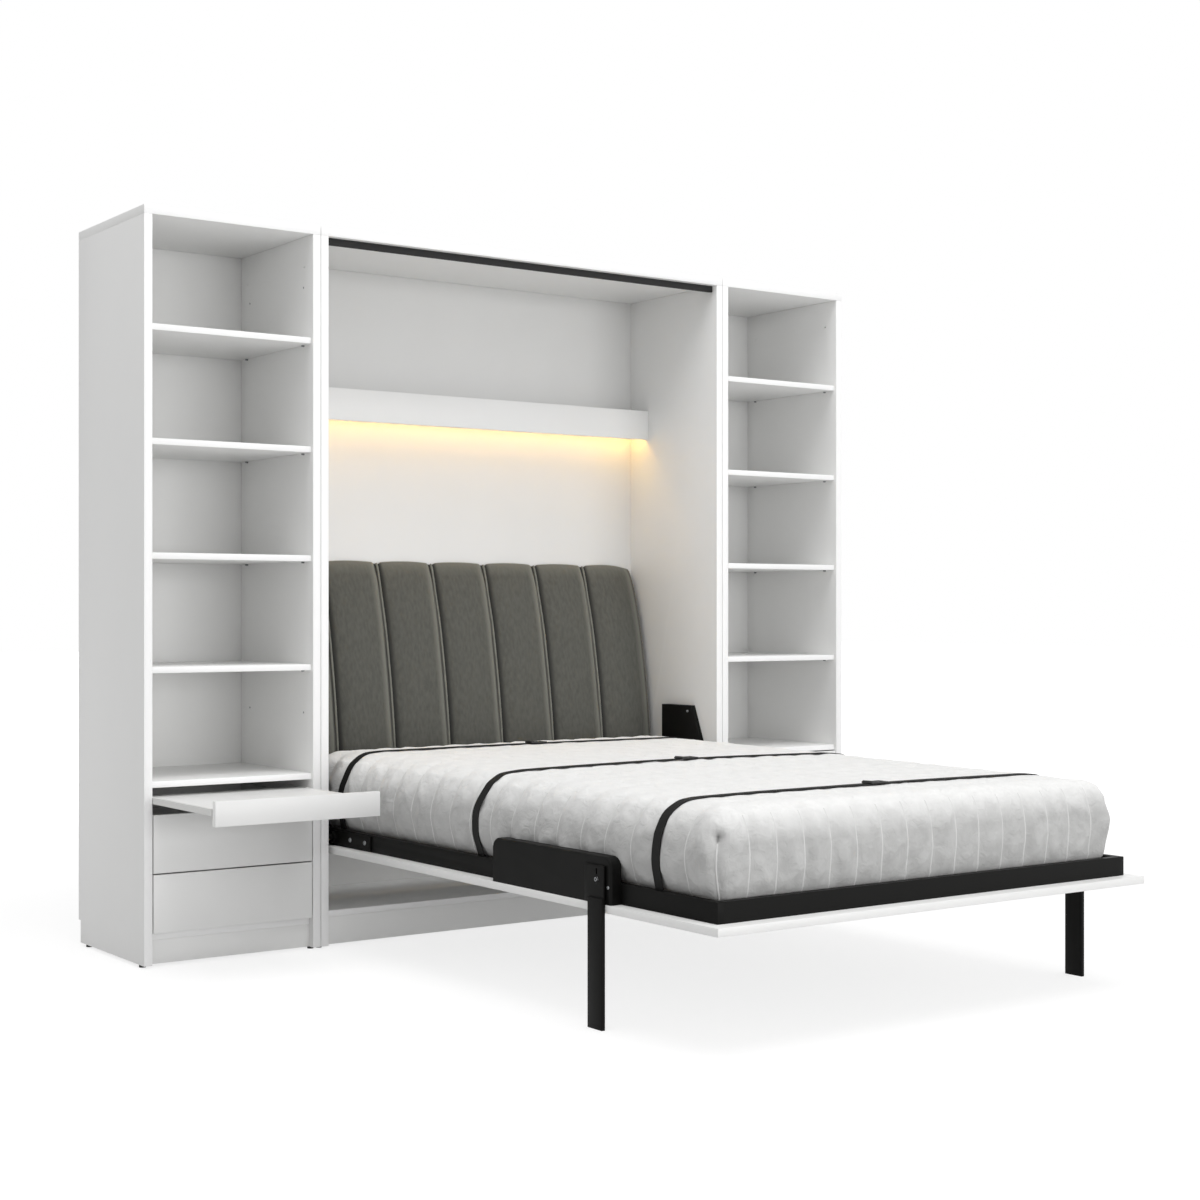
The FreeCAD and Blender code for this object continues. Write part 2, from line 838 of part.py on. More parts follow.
def over_mattress(outset, drop=0):
    """The whole way over the mattress, from the right side to the left."""
    half = num("mattress_width") / 2 + outset
    top = num("mattress_top") + outset - drop
    right = mattress_side(half, top)
    start = right[-1].Vertexes[-1].Point
    rise = Vector(0, 0, top + num("mattress_crown"))
    crown = Part.Arc(start, rise, Vector(-start.x, 0, top))
    return right + [crown.toShape()] + mirrored_back(right)


def mattress_section(y, inset, drop=0):
    """A closed section of the mattress: its sides and top drawn in, and its top dropped near an end."""
    corner = num("mattress_corner")
    low = num("slat_top")
    half = num("mattress_width") / 2 - inset
    lean = ROUND_SHARE * corner
    turn = Part.Arc(
        Vector(half - corner, 0, low),
        Vector(half - corner + lean, 0, low + corner - lean),
        Vector(half, 0, low + corner),
    ).toShape()
    under = Part.LineSegment(Vector(corner - half, 0, low), Vector(half - corner, 0, low)).toShape()
    edges = [under, turn] + over_mattress(-inset, drop) + mirrored_back([turn])
    wire = Part.Wire(Part.__sortEdges__(edges))
    wire.translate(Vector(0, y, 0))
    return wire


def rounding(radius, depth):
    """How far a rounded edge is drawn in at a depth from the face that it meets."""
    left = max(radius - depth, 0)
    return radius - math.sqrt(radius ** 2 - left ** 2)


def mattress():
    foot = num("mattress_foot_y")
    length = num("mattress_length")
    end = num("mattress_end_round")
    plan = num("mattress_plan_round")
    seam = num("mattress_seam")
    depths = [end * share for share in END_DEPTH_SHARES]
    rounded = [(depth, rounding(plan, depth), ROUND_SHARE * rounding(end, depth)) for depth in depths]
    middle = [(end, seam, 0)]
    pitch = (length - 2 * end) / MATTRESS_CHANNELS
    for channel in range(MATTRESS_CHANNELS):
        start = end + channel * pitch
        middle += [(start + share * pitch, 0, 0) for share in CHANNEL_CREST_SHARES]
        middle.append((start + pitch, seam, 0))
    closing = [(length - depth, inset, drop) for depth, inset, drop in reversed(rounded)]
    sections = [mattress_section(foot + y, inset, drop) for y, inset, drop in rounded + middle + closing]
    solid = doc.addObject("Part::Feature", "Mattress")
    solid.Shape = Part.makeLoft(sections, True, True)
    node("mattress", solid)


def straps():
    """Webbing straps that hold the mattress down, from rail to rail, with a buckle on each."""
    gap = num("strap_gap")
    inner = over_mattress(gap)
    outer = over_mattress(gap + num("strap_thickness"))
    ends = [
        Part.LineSegment(inner[side].Vertexes[0].Point, outer[side].Vertexes[0].Point)
        for side in (0, -1)
    ]
    edges = inner + outer + [end.toShape() for end in ends]
    face = Part.Face(Part.Wire(Part.__sortEdges__(edges)))
    band = face.extrude(Vector(0, num("strap_width"), 0))
    made = []
    buckles = []
    for step in range(STRAPS):
        strap = doc.addObject("Part::Feature", "Strap")
        strap.Shape = band
        middle = f"mattress_head_y - strap_head_inset - {step} * strap_pitch"
        put(strap, ("0", middle + " - strap_width / 2", "0"))
        made.append(strap)
        buckles.append(board(
            ("buckle_length", "buckle_width", "buckle_height"),
            ("buckle_offset - buckle_length / 2", middle + " - buckle_width / 2", "strap_top"),
        ))
    node("mattress_straps", *made)
    node("strap_buckles", *buckles)


# Headboard: a padded wedge in upright channels, thick at the mattress and thin at its top
def headboard_section(x, inset):
    """An upright section of the cushion, its front and top drawn in by an inset."""
    back = num("back_y")
    low = num("headboard_low")
    depth = num("headboard_low_depth")
    toe = num("headboard_toe")
    height = num("headboard_high") - inset - low
    front = [
        Vector(x, back - depth * share + inset * min(1, share / SEAM_FULL_SHARE), low + height * rise)
        for rise, share in HEADBOARD_PROFILE_SHARES
    ]
    foot = Vector(x, back - depth + inset, low + toe)
    lean = ROUND_SHARE * toe
    curve = Part.BSplineCurve()
    curve.interpolate(front + [foot])
    edges = [
        Part.LineSegment(Vector(x, back, low), front[0]),
        curve,
        Part.Arc(foot, foot + Vector(0, toe - lean, -lean), foot + Vector(0, toe, -toe)),
        Part.LineSegment(foot + Vector(0, toe, -toe), Vector(x, back, low)),
    ]
    return Part.Wire([edge.toShape() for edge in edges])


def headboard():
    half = num("half_inner") - num("headboard_side_gap")
    pitch = 2 * half / HEADBOARD_CHANNELS
    puff = num("channel_puff")
    sections = [(-half, puff)]
    for channel in range(HEADBOARD_CHANNELS):
        start = channel * pitch - half
        sections += [(start + share * pitch, 0) for share in CHANNEL_CREST_SHARES]
        sections.append((start + pitch, puff))
    cushion = doc.addObject("Part::Feature", "Headboard")
    cushion.Shape = Part.makeLoft([headboard_section(x, inset) for x, inset in sections], True, True)
    node("headboard_cushion", cushion)


# Fold mechanism: a plate with a pivot pin on each cabinet side, and a bracket on each bed rail
def hinge_plates():
    plate = body(("-half_inner", "pivot_y", "pivot_z"))
    shape = outline(plate, [
        ("-plate_toe", "-plate_low"),
        ("plate_heel", "-plate_low"),
        ("plate_back", "plate_back_low"),
        ("plate_back", "plate_high"),
        ("plate_top_front", "plate_high"),
        ("-plate_toe", "plate_knee"),
    ])
    pad(plate, shape, "plate_sheet")
    pad(plate, disc(plate, "pivot_radius", "0", "0"), "cover_clear - pivot_end_gap")
    pad(plate, disc(plate, "stud_radius", "anchor_y", "anchor_z"), "gas_inset + gas_eye_width / 2")
    pair("hinge_plates", plate)


def hinge_covers():
    """A folded steel cover over each gas spring, with a slanted front and a bevelled front edge."""
    cover = body(("-half_inner", "pivot_y", "pivot_z"))
    shape = outline(cover, [
        ("-cover_front", "cover_low"),
        ("cover_back", "cover_low"),
        ("cover_back", "cover_high"),
        ("cover_top_front", "cover_high"),
        ("-cover_front", "cover_knee"),
    ])
    block = pad(cover, shape, "cover_depth")
    doc.recompute()
    depth = num("cover_depth")
    reach = num("cover_top_front")

    def front_edge(edge):
        box = edge.BoundBox
        on_face = box.XMin > depth - num("overrun") and box.ZLength > num("overrun")
        return on_face and box.YMax < reach + num("overrun")

    bevel = cover.newObject("PartDesign::Chamfer", "Bevel")
    bevel.Base = (block, edges_where(block, front_edge))
    bevel.ChamferType = "Two distances"
    bevel.setExpression("Size", bind("facet_depth"))
    bevel.setExpression("Size2", bind("facet_width"))
    doc.recompute()
    shell(cover, "cover_sheet", lambda n: n.x < -ROUND_SHARE or n.z < -ROUND_SHARE)
    pair("hinge_covers", cover)


def bed_brackets():
    """A steel strap on each rail, with a boss for the pivot and a stud for the gas spring."""
    low_x = "-half_frame - bed_bracket_sheet"
    strap = board(
        ("bed_bracket_sheet", "bed_bracket_toe + bed_bracket_heel", "bed_bracket_height"),
        (low_x, "pivot_y - bed_bracket_toe", "pivot_z - bed_bracket_height / 2"),
    )
    boss = rod(
        "boss_radius",
        "boss_length + bed_bracket_sheet",
        (low_x + " - boss_length", "pivot_y", "pivot_z"),
    )
    stud_low = "gas_x + rod_eye_width / 2 + stud_end_gap"
    stud = rod("stud_radius", f"-half_frame - ({stud_low})", (stud_low, "pivot_y + stud_y", "pivot_z"))
    bore = rod(
        "pivot_radius + pivot_play",
        "boss_length + bed_bracket_sheet + 2 * overrun",
        (low_x + " - boss_length - overrun", "pivot_y", "pivot_z"),
    )
    holes = bolt_row("bolt_radius + bolt_play", "bed_bracket_sheet + 2 * overrun", low_x + " - overrun")
    pair("bed_brackets", cut(fuse(strap, boss, stud), bore, *holes))


def bracket_bolts():
    low_x = "-half_frame - bed_bracket_sheet"
    heads = bolt_row("bolt_head_radius", "bolt_head_height", low_x + " - bolt_head_height")
    shanks = bolt_row("bolt_radius", "bolt_tail + bolt_head_height", low_x + " - bolt_head_height")
    bolts = [fuse(head, shank) for head, shank in zip(heads, shanks)]
    node("bracket_bolts", *bolts, *[mirror(bolt) for bolt in bolts])


def gas_spring():
    """A cylinder that hangs from the hinge plate, and a piston rod that pushes on the bed's stud."""
    tube = rod("gas_radius", "gas_low_end - gas_high_end", ("0", "0", "-gas_low_end"), "z")
    eye = rod("gas_eye_radius", "gas_eye_width", ("-gas_eye_width / 2", "0", "0"))
    bore = rod("gas_bore", "gas_low_end - gland_length - 2 * gas_high_end",
               ("0", "0", "gland_length - gas_low_end"), "z")
    mouth = rod("gas_rod_radius + gas_rod_play", "gland_length + 2 * overrun",
                ("0", "0", "-gas_low_end - overrun"), "z")
    hole = rod("stud_radius + stud_play", "gas_eye_width + 2 * overrun",
               ("-gas_eye_width / 2 - overrun", "0", "0"))
    neck = rod("gas_bore", "gas_high_end + overrun", ("0", "0", "-gas_high_end - overrun"), "z")
    cylinder = cut(fuse(tube, neck, eye), bore, mouth, hole)
    stem = rod("gas_rod_radius", "gas_rod_length", ("0", "0", "-gas_length"), "z")
    piston = rod("gas_bore - piston_play", "piston_length",
                 ("0", "0", "gas_rod_length - gas_length - piston_length"), "z")
    rod_eye = rod("rod_eye_radius", "rod_eye_width", ("-rod_eye_width / 2", "0", "-gas_length"))
    plunger = fuse(stem, piston, rod_eye)
    for word, piece in (("cylinder", cylinder), ("rod", plunger)):
        piece.Placement = Placement(Vector(), Rotation(Vector(1, 0, 0), 1))
        piece.setExpression("Placement.Rotation.Angle", bind("gas_tilt"))
        put(piece, ("gas_x", "pivot_y + anchor_y", "pivot_z + anchor_z"))
        node(f"left_gas_{word}", piece)
        node(f"right_gas_{word}", mirror(piece))


# Legs: a flat steel leg at each side that folds against a pressed housing, the right one nearer the foot
def leg_at(y):
    leg = body(("leg_x", y, "leg_pivot_height"))
    head = outline(leg, [
        ("-leg_width / 2", "-leg_plate_low"),
        ("leg_width / 2 + leg_plate_step", "-leg_plate_low"),
        ("leg_width / 2 + leg_plate_step", "leg_plate_high"),
        ("-leg_width / 2", "leg_plate_high"),
    ])
    pad(leg, head, "leg_plate_sheet", to_wall=True)
    shank = outline(leg, [
        ("-leg_width / 2", "-leg_pivot_height"),
        ("leg_width / 2", "-leg_pivot_height"),
        ("leg_width / 2", "leg_lap - leg_plate_low"),
        ("-leg_width / 2", "leg_lap - leg_plate_low"),
    ])
    pad(leg, shank, "leg_thickness", to_wall=True)
    pad(leg, disc(leg, "leg_bolt_radius", "0", "0"), "leg_plate_sheet + leg_bolt_height", to_wall=True)
    pad(leg, disc(leg, "leg_pin_radius", "0", "0"), "leg_pin_length")
    slot = outline(leg, [
        ("-leg_slot_width / 2", "leg_slot_rise"),
        ("leg_slot_width / 2", "leg_slot_rise"),
        ("leg_slot_width / 2", "leg_slot_rise + leg_slot_length"),
        ("-leg_slot_width / 2", "leg_slot_rise + leg_slot_length"),
    ])
    pocket(leg, slot, "leg_plate_sheet + overrun")
    return leg


def housing_at(y):
    housing = body(("-half_frame", y, "panel_top"))
    shape = outline(housing, [
        ("-housing_toe", "0"),
        ("housing_length - housing_toe", "0"),
        ("housing_length - housing_toe", "housing_height"),
        ("-housing_toe", "housing_height"),
    ])
    block = pad(housing, shape, "panel_overhang - housing_inset", to_wall=True)
    doc.recompute()
    limit = num("housing_height") - num("housing_sheet")

    def top_corner(edge):
        box = edge.BoundBox
        return box.ZMin > limit and box.XLength > box.YLength

    rounded = housing.newObject("PartDesign::Fillet", "Rounded")
    rounded.Base = (block, edges_where(block, top_corner))
    rounded.setExpression("Radius", bind("housing_round"))
    doc.recompute()
    outer = rounded.Shape.BoundBox.XMin + num("housing_sheet")
    base = num("housing_sheet")

    def rim(edge):
        box = edge.BoundBox
        return box.XMax < outer and box.ZMax > base

    eased = housing.newObject("PartDesign::Fillet", "Eased")
    eased.Base = (rounded, edges_where(rounded, rim))
    eased.setExpression("Radius", bind("housing_edge_round"))
    shell(housing, "housing_sheet", lambda n: n.x > ROUND_SHARE)
    bore = disc(housing, "leg_pin_radius + leg_pin_play", "0", "leg_pivot_height - panel_top")
    pocket(housing, bore, "panel_overhang")
    return housing


def legs():
    node("left_leg", leg_at("left_leg_y"))
    node("right_leg", mirror(leg_at("right_leg_y")))
    node("leg_housings", housing_at("left_leg_y"), mirror(housing_at("right_leg_y")))


centre_cabinet()
plinths()
glide_feet()
wall_brackets()
display_shelf()
headboard()
bookcases()
runner_channels()
tray("left", "tray_pull")
tray("right", "0")
for side_word in ("left", "right"):
    for tier_number, tier_word in enumerate(("lower", "upper")):
        drawer(side_word, tier_number, tier_word)
bed_base()
mattress()
straps()
hinge_plates()
hinge_covers()
bed_brackets()
bracket_bolts()
gas_spring()
legs()
doc.recompute()

# Nothing is written unless every object and every solid is sound.
for thing in doc.Objects:
    if "Invalid" in thing.State or "Error" in thing.State:
        raise SystemExit(f"{thing.Name} ({thing.Label}) failed: {thing.State}")
for piece in nodes:
    if piece.Shape.isNull() or not piece.Shape.isValid() or not piece.Shape.Solids:
        raise SystemExit(f"{piece.Label} has no sound solid")

os.makedirs("parts", exist_ok=True)
for piece in nodes:
    piece.Shape.exportStep(os.path.join("parts", piece.Label + ".step"))
print(len(nodes), "pieces written")
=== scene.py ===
# %% [markdown]
# # A wall bed between two bookcases
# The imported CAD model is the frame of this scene. It already has every board, rail and hinge at its real size
# and place. This lesson dresses it: the boards and the steel get the small rounds and finishes of the real
# ones, and the mattress and the headboard are made again as sewn, stuffed cloth.

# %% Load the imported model
import json
import math

import bmesh
import bpy
from mathutils import Matrix, Vector, noise
from mathutils.bvhtree import BVHTree
from mathutils.geometry import convex_hull_2d


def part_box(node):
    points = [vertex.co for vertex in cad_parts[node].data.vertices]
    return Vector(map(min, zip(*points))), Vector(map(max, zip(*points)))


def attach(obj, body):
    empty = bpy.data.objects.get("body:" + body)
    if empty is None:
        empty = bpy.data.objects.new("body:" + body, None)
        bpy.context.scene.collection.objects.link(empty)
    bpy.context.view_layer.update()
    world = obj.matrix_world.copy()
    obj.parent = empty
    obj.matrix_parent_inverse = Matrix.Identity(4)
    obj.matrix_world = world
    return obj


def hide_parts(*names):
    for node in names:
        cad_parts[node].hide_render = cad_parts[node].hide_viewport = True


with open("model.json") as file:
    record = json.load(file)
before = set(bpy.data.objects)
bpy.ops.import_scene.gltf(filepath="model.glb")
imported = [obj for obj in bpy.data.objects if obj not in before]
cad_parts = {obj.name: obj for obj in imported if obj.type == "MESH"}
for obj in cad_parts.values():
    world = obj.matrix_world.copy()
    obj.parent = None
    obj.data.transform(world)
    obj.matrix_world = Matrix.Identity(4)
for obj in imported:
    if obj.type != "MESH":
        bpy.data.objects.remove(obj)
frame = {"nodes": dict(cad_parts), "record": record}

scene = bpy.context.scene
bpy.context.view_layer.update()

# %% [markdown]
# ## Camera
# The photograph was taken from the left of the bed at about chest height, with the camera level, so that
# upright edges stay upright. Its place and lens were worked out from the cabinet's edges. A level camera keeps
# its horizon in the middle of the picture, so a small shift puts the frame back where the photograph has it.

# %% Camera
PHOTO_SIDE = 1200
FOCAL_LENGTH = 1888.17
HORIZON_POINT = (498.7, 610.85)
CAMERA_PLACE, CAMERA_TURN = (-3.48344, -4.29249, 1.002575), -0.5961
SENSOR_WIDTH = 36

camera_data = bpy.data.cameras.new("camera")
camera_data.sensor_width = SENSOR_WIDTH
camera_data.lens = camera_data.sensor_width * FOCAL_LENGTH / PHOTO_SIDE
camera_data.shift_x = 0.5 - HORIZON_POINT[0] / PHOTO_SIDE
camera_data.shift_y = HORIZON_POINT[1] / PHOTO_SIDE - 0.5
camera = bpy.data.objects.new("camera", camera_data)
camera.location = CAMERA_PLACE
camera.rotation_euler = (math.pi / 2, 0, CAMERA_TURN)
scene.collection.objects.link(camera)
scene.camera = camera
print("lens in mm:", round(camera_data.lens, 2))

# %% [markdown]
# ## Two small helpers
# Colours are picked on a screen as sRGB hex values, but a shader works with linear light, so one function turns
# the first into the second. Node trees get long when each node takes five lines, so a second function adds one
# node, sets what is a plain value and links what is a socket.

# %% Colour and node helpers
def linear(hex_colour):
    shares = [int(hex_colour[at:at + 2], 16) / 255 for at in (1, 3, 5)]
    return [s / 12.92 if s <= 0.04045 else ((s + 0.055) / 1.055) ** 2.4 for s in shares] + [1]


def add(tree, kind, inputs=None, **settings):
    node = tree.nodes.new(kind)
    for name, value in settings.items():
        setattr(node, name, value)
    for name, value in (inputs or {}).items():
        if isinstance(value, bpy.types.NodeSocket):
            tree.links.new(value, node.inputs[name])
        else:
            node.inputs[name].default_value = value
    return node


print("mid grey in linear light:", [round(c, 3) for c in linear("#808080")])

# %% [markdown]
# ## Stage and light
# The photograph has a white studio round the bed and light that is soft from all sides, with a little more of it
# from the front. A large floor and a white world give that. What the camera sees of them is white, while what
# lights the bed is held lower, so that the white boards keep their shading.

# %% Floor
def mesh_object(name, points, faces):
    mesh = bpy.data.meshes.new(name)
    mesh.from_pydata([tuple(p) for p in points], [], faces)
    piece = bpy.data.objects.new(name, mesh)
    scene.collection.objects.link(piece)
    return piece


def any_ray(tree, first, *others):
    rays = add(tree, "ShaderNodeLightPath").outputs
    seen = rays[f"Is {first} Ray"]
    for kind in others:
        seen = add(tree, "ShaderNodeMath", {0: seen, 1: rays[f"Is {kind} Ray"]}, operation="MAXIMUM").outputs[0]
    return seen


FLOOR_REACH = 40
FADE_FROM, FADE_TO, NEAR_GLOW = 2.4, 6.0, 0.76
corners = [(x * FLOOR_REACH, y * FLOOR_REACH, 0) for x, y in ((-1, -1), (1, -1), (1, 1), (-1, 1))]
floor = mesh_object("floor", corners, [(0, 1, 2, 3)])

studio_floor = bpy.data.materials.new("studio floor")
studio_floor.use_nodes = True
tree = studio_floor.node_tree
tree.nodes.clear()
paint = add(tree, "ShaderNodeBsdfDiffuse", {"Color": linear("#CECECE")})
pale = add(tree, "ShaderNodeBsdfDiffuse", {"Color": linear("#9A9A9A")})
# Far from the bed the floor brightens, so that it runs into the white behind it without a line
place = add(tree, "ShaderNodeTexCoord").outputs["Object"]
away = add(tree, "ShaderNodeVectorMath", {0: place}, operation="LENGTH").outputs["Value"]
fade = add(tree, "ShaderNodeMapRange", {0: away, 1: FADE_FROM, 2: FADE_TO, 3: NEAR_GLOW, 4: 1.0})
glow = add(tree, "ShaderNodeEmission", {"Color": linear("#FFFFFF"), "Strength": fade.outputs[0]})
lit = add(tree, "ShaderNodeAddShader", {0: pale.outputs[0], 1: glow.outputs[0]})
seen = any_ray(tree, "Camera", "Glossy")
either = add(tree, "ShaderNodeMixShader", {0: seen, 1: paint.outputs[0], 2: lit.outputs[0]})
add(tree, "ShaderNodeOutputMaterial", {"Surface": either.outputs[0]})
floor.data.materials.append(studio_floor)
print("floor is", 2 * FLOOR_REACH, "m across")

# %% World
AMBIENT = 0.62
world = bpy.data.worlds.new("studio")
world.use_nodes = True
scene.world = world
tree = world.node_tree
tree.nodes.clear()
seen = any_ray(tree, "Camera", "Glossy", "Transmission")
soft = add(tree, "ShaderNodeBackground", {"Color": linear("#FFFFFF"), "Strength": AMBIENT})
white = add(tree, "ShaderNodeBackground", {"Color": linear("#FFFFFF"), "Strength": 1.0})
either = add(tree, "ShaderNodeMixShader", {0: seen, 1: soft.outputs[0], 2: white.outputs[0]})
add(tree, "ShaderNodeOutputWorld", {"Surface": either.outputs[0]})
scene.view_settings.view_transform = "Standard"
print("ambient light:", AMBIENT)

# %% Lamps
def softbox(name, place, aim, width, height, watts):
    lamp = bpy.data.lights.new(name, "AREA")
    lamp.shape = "RECTANGLE"
    lamp.size, lamp.size_y = width, height
    lamp.energy = watts
    box = bpy.data.objects.new(name, lamp)
    box.location = place
    box.rotation_euler = (Vector(aim) - Vector(place)).to_track_quat("-Z", "Y").to_euler()
    scene.collection.objects.link(box)
    return box


softbox("low front softbox", place=(2.4, -12.5, 1.5), aim=(0, 0.6, 1.0), width=7.5, height=3.2, watts=392)
softbox("overhead softbox", place=(-0.7, -2.6, 8.5), aim=(0, -0.2, 0.5), width=6.0, height=4.4, watts=288)

# %% [markdown]
# ## Finishes: boards
# The boards are particle board under a white melamine laminate, pressed against a plate with a fine pearl, so the
# white isn't a mirror and isn't dead flat either. The real pearl is about 0.5 mm, too fine for a view of the whole
# bed, so it is drawn at 4 mm. A very faint cloud in the roughness breaks up large panels. A few small functions
# come first, because nearly every finish needs a bump, a spread of roughness or a tone.

# %% Helpers for finishes
MM = 0.001


def new_finish(name, **values):
    finish = bpy.data.materials.new(name)
    finish.use_nodes = True
    shader = finish.node_tree.nodes["Principled BSDF"]
    for socket, value in values.items():
        shader.inputs[socket.replace("_", " ")].default_value = value
    return finish, finish.node_tree, shader


def object_place(tree):
    return add(tree, "ShaderNodeTexCoord").outputs["Object"]


def speckle(tree, place, size, detail=2.0):
    return add(tree, "ShaderNodeTexNoise", {"Vector": place, "Scale": 1 / size, "Detail": detail}).outputs[0]


def embossed(tree, shader, height, strength, depth):
    bump = add(tree, "ShaderNodeBump", {"Height": height, "Strength": strength, "Distance": depth})
    tree.links.new(bump.outputs[0], shader.inputs["Normal"])


def roughened(tree, shader, share, least, most):
    spread = add(tree, "ShaderNodeMapRange", {0: share, 3: least, 4: most})
    tree.links.new(spread.outputs[0], shader.inputs["Roughness"])


def toned(tree, share, dark, light, start=0.0, end=1.0):
    tone = add(tree, "ShaderNodeValToRGB", {0: share})
    for stop, position, colour in zip(tone.color_ramp.elements, (start, end), (dark, light)):
        stop.position, stop.color = position, linear(colour)
    return tone.outputs[0]


def blended(tree, share, first, second):
    return add(tree, "ShaderNodeMix", {"Factor": share, 6: first, 7: second}, data_type="RGBA").outputs[2]


def repainted(finish, name, dark, light):
    copy = finish.copy()
    copy.name = name
    tone = next(node for node in copy.node_tree.nodes if node.type == "VALTORGB")
    for stop, colour in zip(tone.color_ramp.elements, (dark, light)):
        stop.color = linear(colour)
    return copy


print("one millimetre is", MM, "m")

# %% White melamine laminate
# Melamine gives a soft, wide highlight and an even, very slightly warm white
melamine, tree, shader = new_finish("white melamine laminate", Base_Color=linear("#F4F4F3"), Roughness=0.42)
place = object_place(tree)
embossed(tree, shader, speckle(tree, place, 4 * MM), 0.05, 0.3 * MM)
cloud = speckle(tree, place, 180 * MM, 3.0)
roughened(tree, shader, cloud, 0.38, 0.47)
# Faces that turn to the front, mostly the boards' front edges, are painted whiter: a painted highlight where the
# front light falls on them, and those faces carry a mark
band = add(tree, "ShaderNodeAttribute", attribute_name="band").outputs["Fac"]
white_with_front_highlight = blended(tree, band, toned(tree, cloud, "#F2F2F1", "#F6F6F5"), linear("#FFFFFF"))
tree.links.new(white_with_front_highlight, shader.inputs["Base Color"])

# The board behind the bed is painted a shade greyer than the melamine: painted shade for the niche that it stands
# in
niche_shaded_melamine = repainted(melamine, "white foil on hardboard", "#E6E6E5", "#EAEAE9")
print("made", melamine.name, "and", niche_shaded_melamine.name)

# %% [markdown]
# ## Finishes: steel
# The bed's frame, legs and hinge covers are mild steel under a powder coat, which is sprayed on as dry grains and
# baked until they flow together. It leaves a fine orange peel and a satin sheen. The black coat is the one that
# shows. The drawer runners have the same coat in white, and the gas springs a smoother black paint.

# %% Powder coats and paint
finishes = {"white_laminate": melamine}
COAT_SPREAD = 0.06

for slot_name, name, colour, roughness, peel in (
    ("black_steel", "black powder coat", "#121211", 0.46, 0.16),
    ("white_steel", "white powder coat", "#E6E6E4", 0.45, 0.12),
    ("cylinder_steel", "black cylinder paint", "#202020", 0.3, 0.04),
):
    # The peel breaks the highlight on long edges into a soft grain, drawn at 3 mm for a real 0.8 mm
    coat, tree, shader = new_finish(name, Base_Color=linear(colour), Roughness=roughness, Specular_IOR_Level=0.09)
    place = object_place(tree)
    embossed(tree, shader, speckle(tree, place, 3 * MM), peel, 0.4 * MM)
    roughened(tree, shader, speckle(tree, place, 60 * MM, 3.0), roughness - COAT_SPREAD, roughness + COAT_SPREAD)
    finishes[slot_name] = coat
print("made", [finish.name for finish in finishes.values()])

# %% Plated metals
for slot_name, name, colour, roughness, scratch in (
    ("rod_steel", "hard chrome", "#C9CBCD", 0.1, 0.02),
    ("bolt_steel", "zinc plate", "#8F9193", 0.36, 0.1),
):
    # Plating is bright and a little streaky, with fine turning marks that are drawn at 1 mm
    plate, tree, shader = new_finish(name, Base_Color=linear(colour), Metallic=1.0, Roughness=roughness)
    marks = speckle(tree, object_place(tree), 1 * MM)
    embossed(tree, shader, marks, scratch, 0.1 * MM)
    roughened(tree, shader, marks, roughness - 0.05, roughness + 0.08)
    finishes[slot_name] = plate
print("plated metals keep the default IOR of", shader.inputs["IOR"].default_value)

# %% [markdown]
# ## Finishes: plastics, rubber and wood
# The feet and the strap buckles are moulded plastic with a sparked grain, and the strip behind the top board is
# soft black rubber. The slats are bare laminated beech: long fine grain lines with short dark flecks.

# %% Moulded plastic and rubber
for slot_name, name, colour, roughness in (
    ("foot_plastic", "moulded foot plastic", "#2A2A2A", 0.55),
    ("buckle_plastic", "moulded acetal", "#1B1B1B", 0.38),
    ("seal_rubber", "soft black rubber", "#1A1A1A", 0.72),
):
    # A spark-eroded mould leaves small even pits, drawn at 2 mm for a real 0.3 mm
    moulded, tree, shader = new_finish(name, Base_Color=linear(colour), Roughness=roughness)
    pits = add(tree, "ShaderNodeTexVoronoi", {"Vector": object_place(tree), "Scale": 1 / (2 * MM)})
    embossed(tree, shader, pits.outputs[0], 0.08, 0.2 * MM)
    finishes[slot_name] = moulded
print("made", name)

# %% Beech slats
# Grain runs along each slat, so the pattern is stretched along X: lines 3 mm apart, flecks 25 mm long
beech, tree, shader = new_finish("laminated beech", Base_Color=linear("#D9BE93"), Roughness=0.5)
place = object_place(tree)
along = add(tree, "ShaderNodeMapping", {"Vector": place, "Scale": (1.2, 30, 30)})
grain = add(tree, "ShaderNodeTexNoise", {"Vector": along.outputs[0], "Scale": 11.0, "Detail": 5.0})
flecks = add(tree, "ShaderNodeMapping", {"Vector": place, "Scale": (40, 400, 400)})
fleck = speckle(tree, flecks.outputs[0], 1.0, 1.0)
mixed = add(tree, "ShaderNodeMath", {0: grain.outputs[0], 1: fleck}, operation="MULTIPLY")
tone = toned(tree, mixed.outputs[0], "#B9925F", "#E0C8A0", 0.12, 0.42)
tree.links.new(tone, shader.inputs["Base Color"])
finishes["slat_wood"] = beech
print("made", beech.name)

# %% [markdown]
# ## Finishes: cloth
# The headboard is short-pile velvet: dark where the eye looks straight into the pile, pale where it sees the pile
# from the side, with streaks where a hand has brushed it. The mattress has a white knitted cover, and the straps
# are black woven webbing. Sheen in the shader gives the pale edge, so nothing has to know where the camera is. On
# the headboard a painted highlight and painted shade are added to the velvet's colour.

# %% Grey velvet
# Brush marks lie slantwise and are 9 mm wide. They lift the pile a little, which the bump shows
velvet, tree, shader = new_finish("grey velvet", Roughness=0.85, Sheen_Weight=1.0, Sheen_Roughness=0.3,
                                  Sheen_Tint=linear("#D8D8CF"))
slant = add(tree, "ShaderNodeMapping", {"Vector": object_place(tree), "Rotation": (0, math.radians(24), 0),
                                        "Scale": (1 / (9 * MM), 1 / (30 * MM), 1 / (22 * MM))})
brush = speckle(tree, slant.outputs[0], 1.0, 4.0)
pile = toned(tree, brush, "#4E4E49", "#5A5A54", 0.3, 0.72)
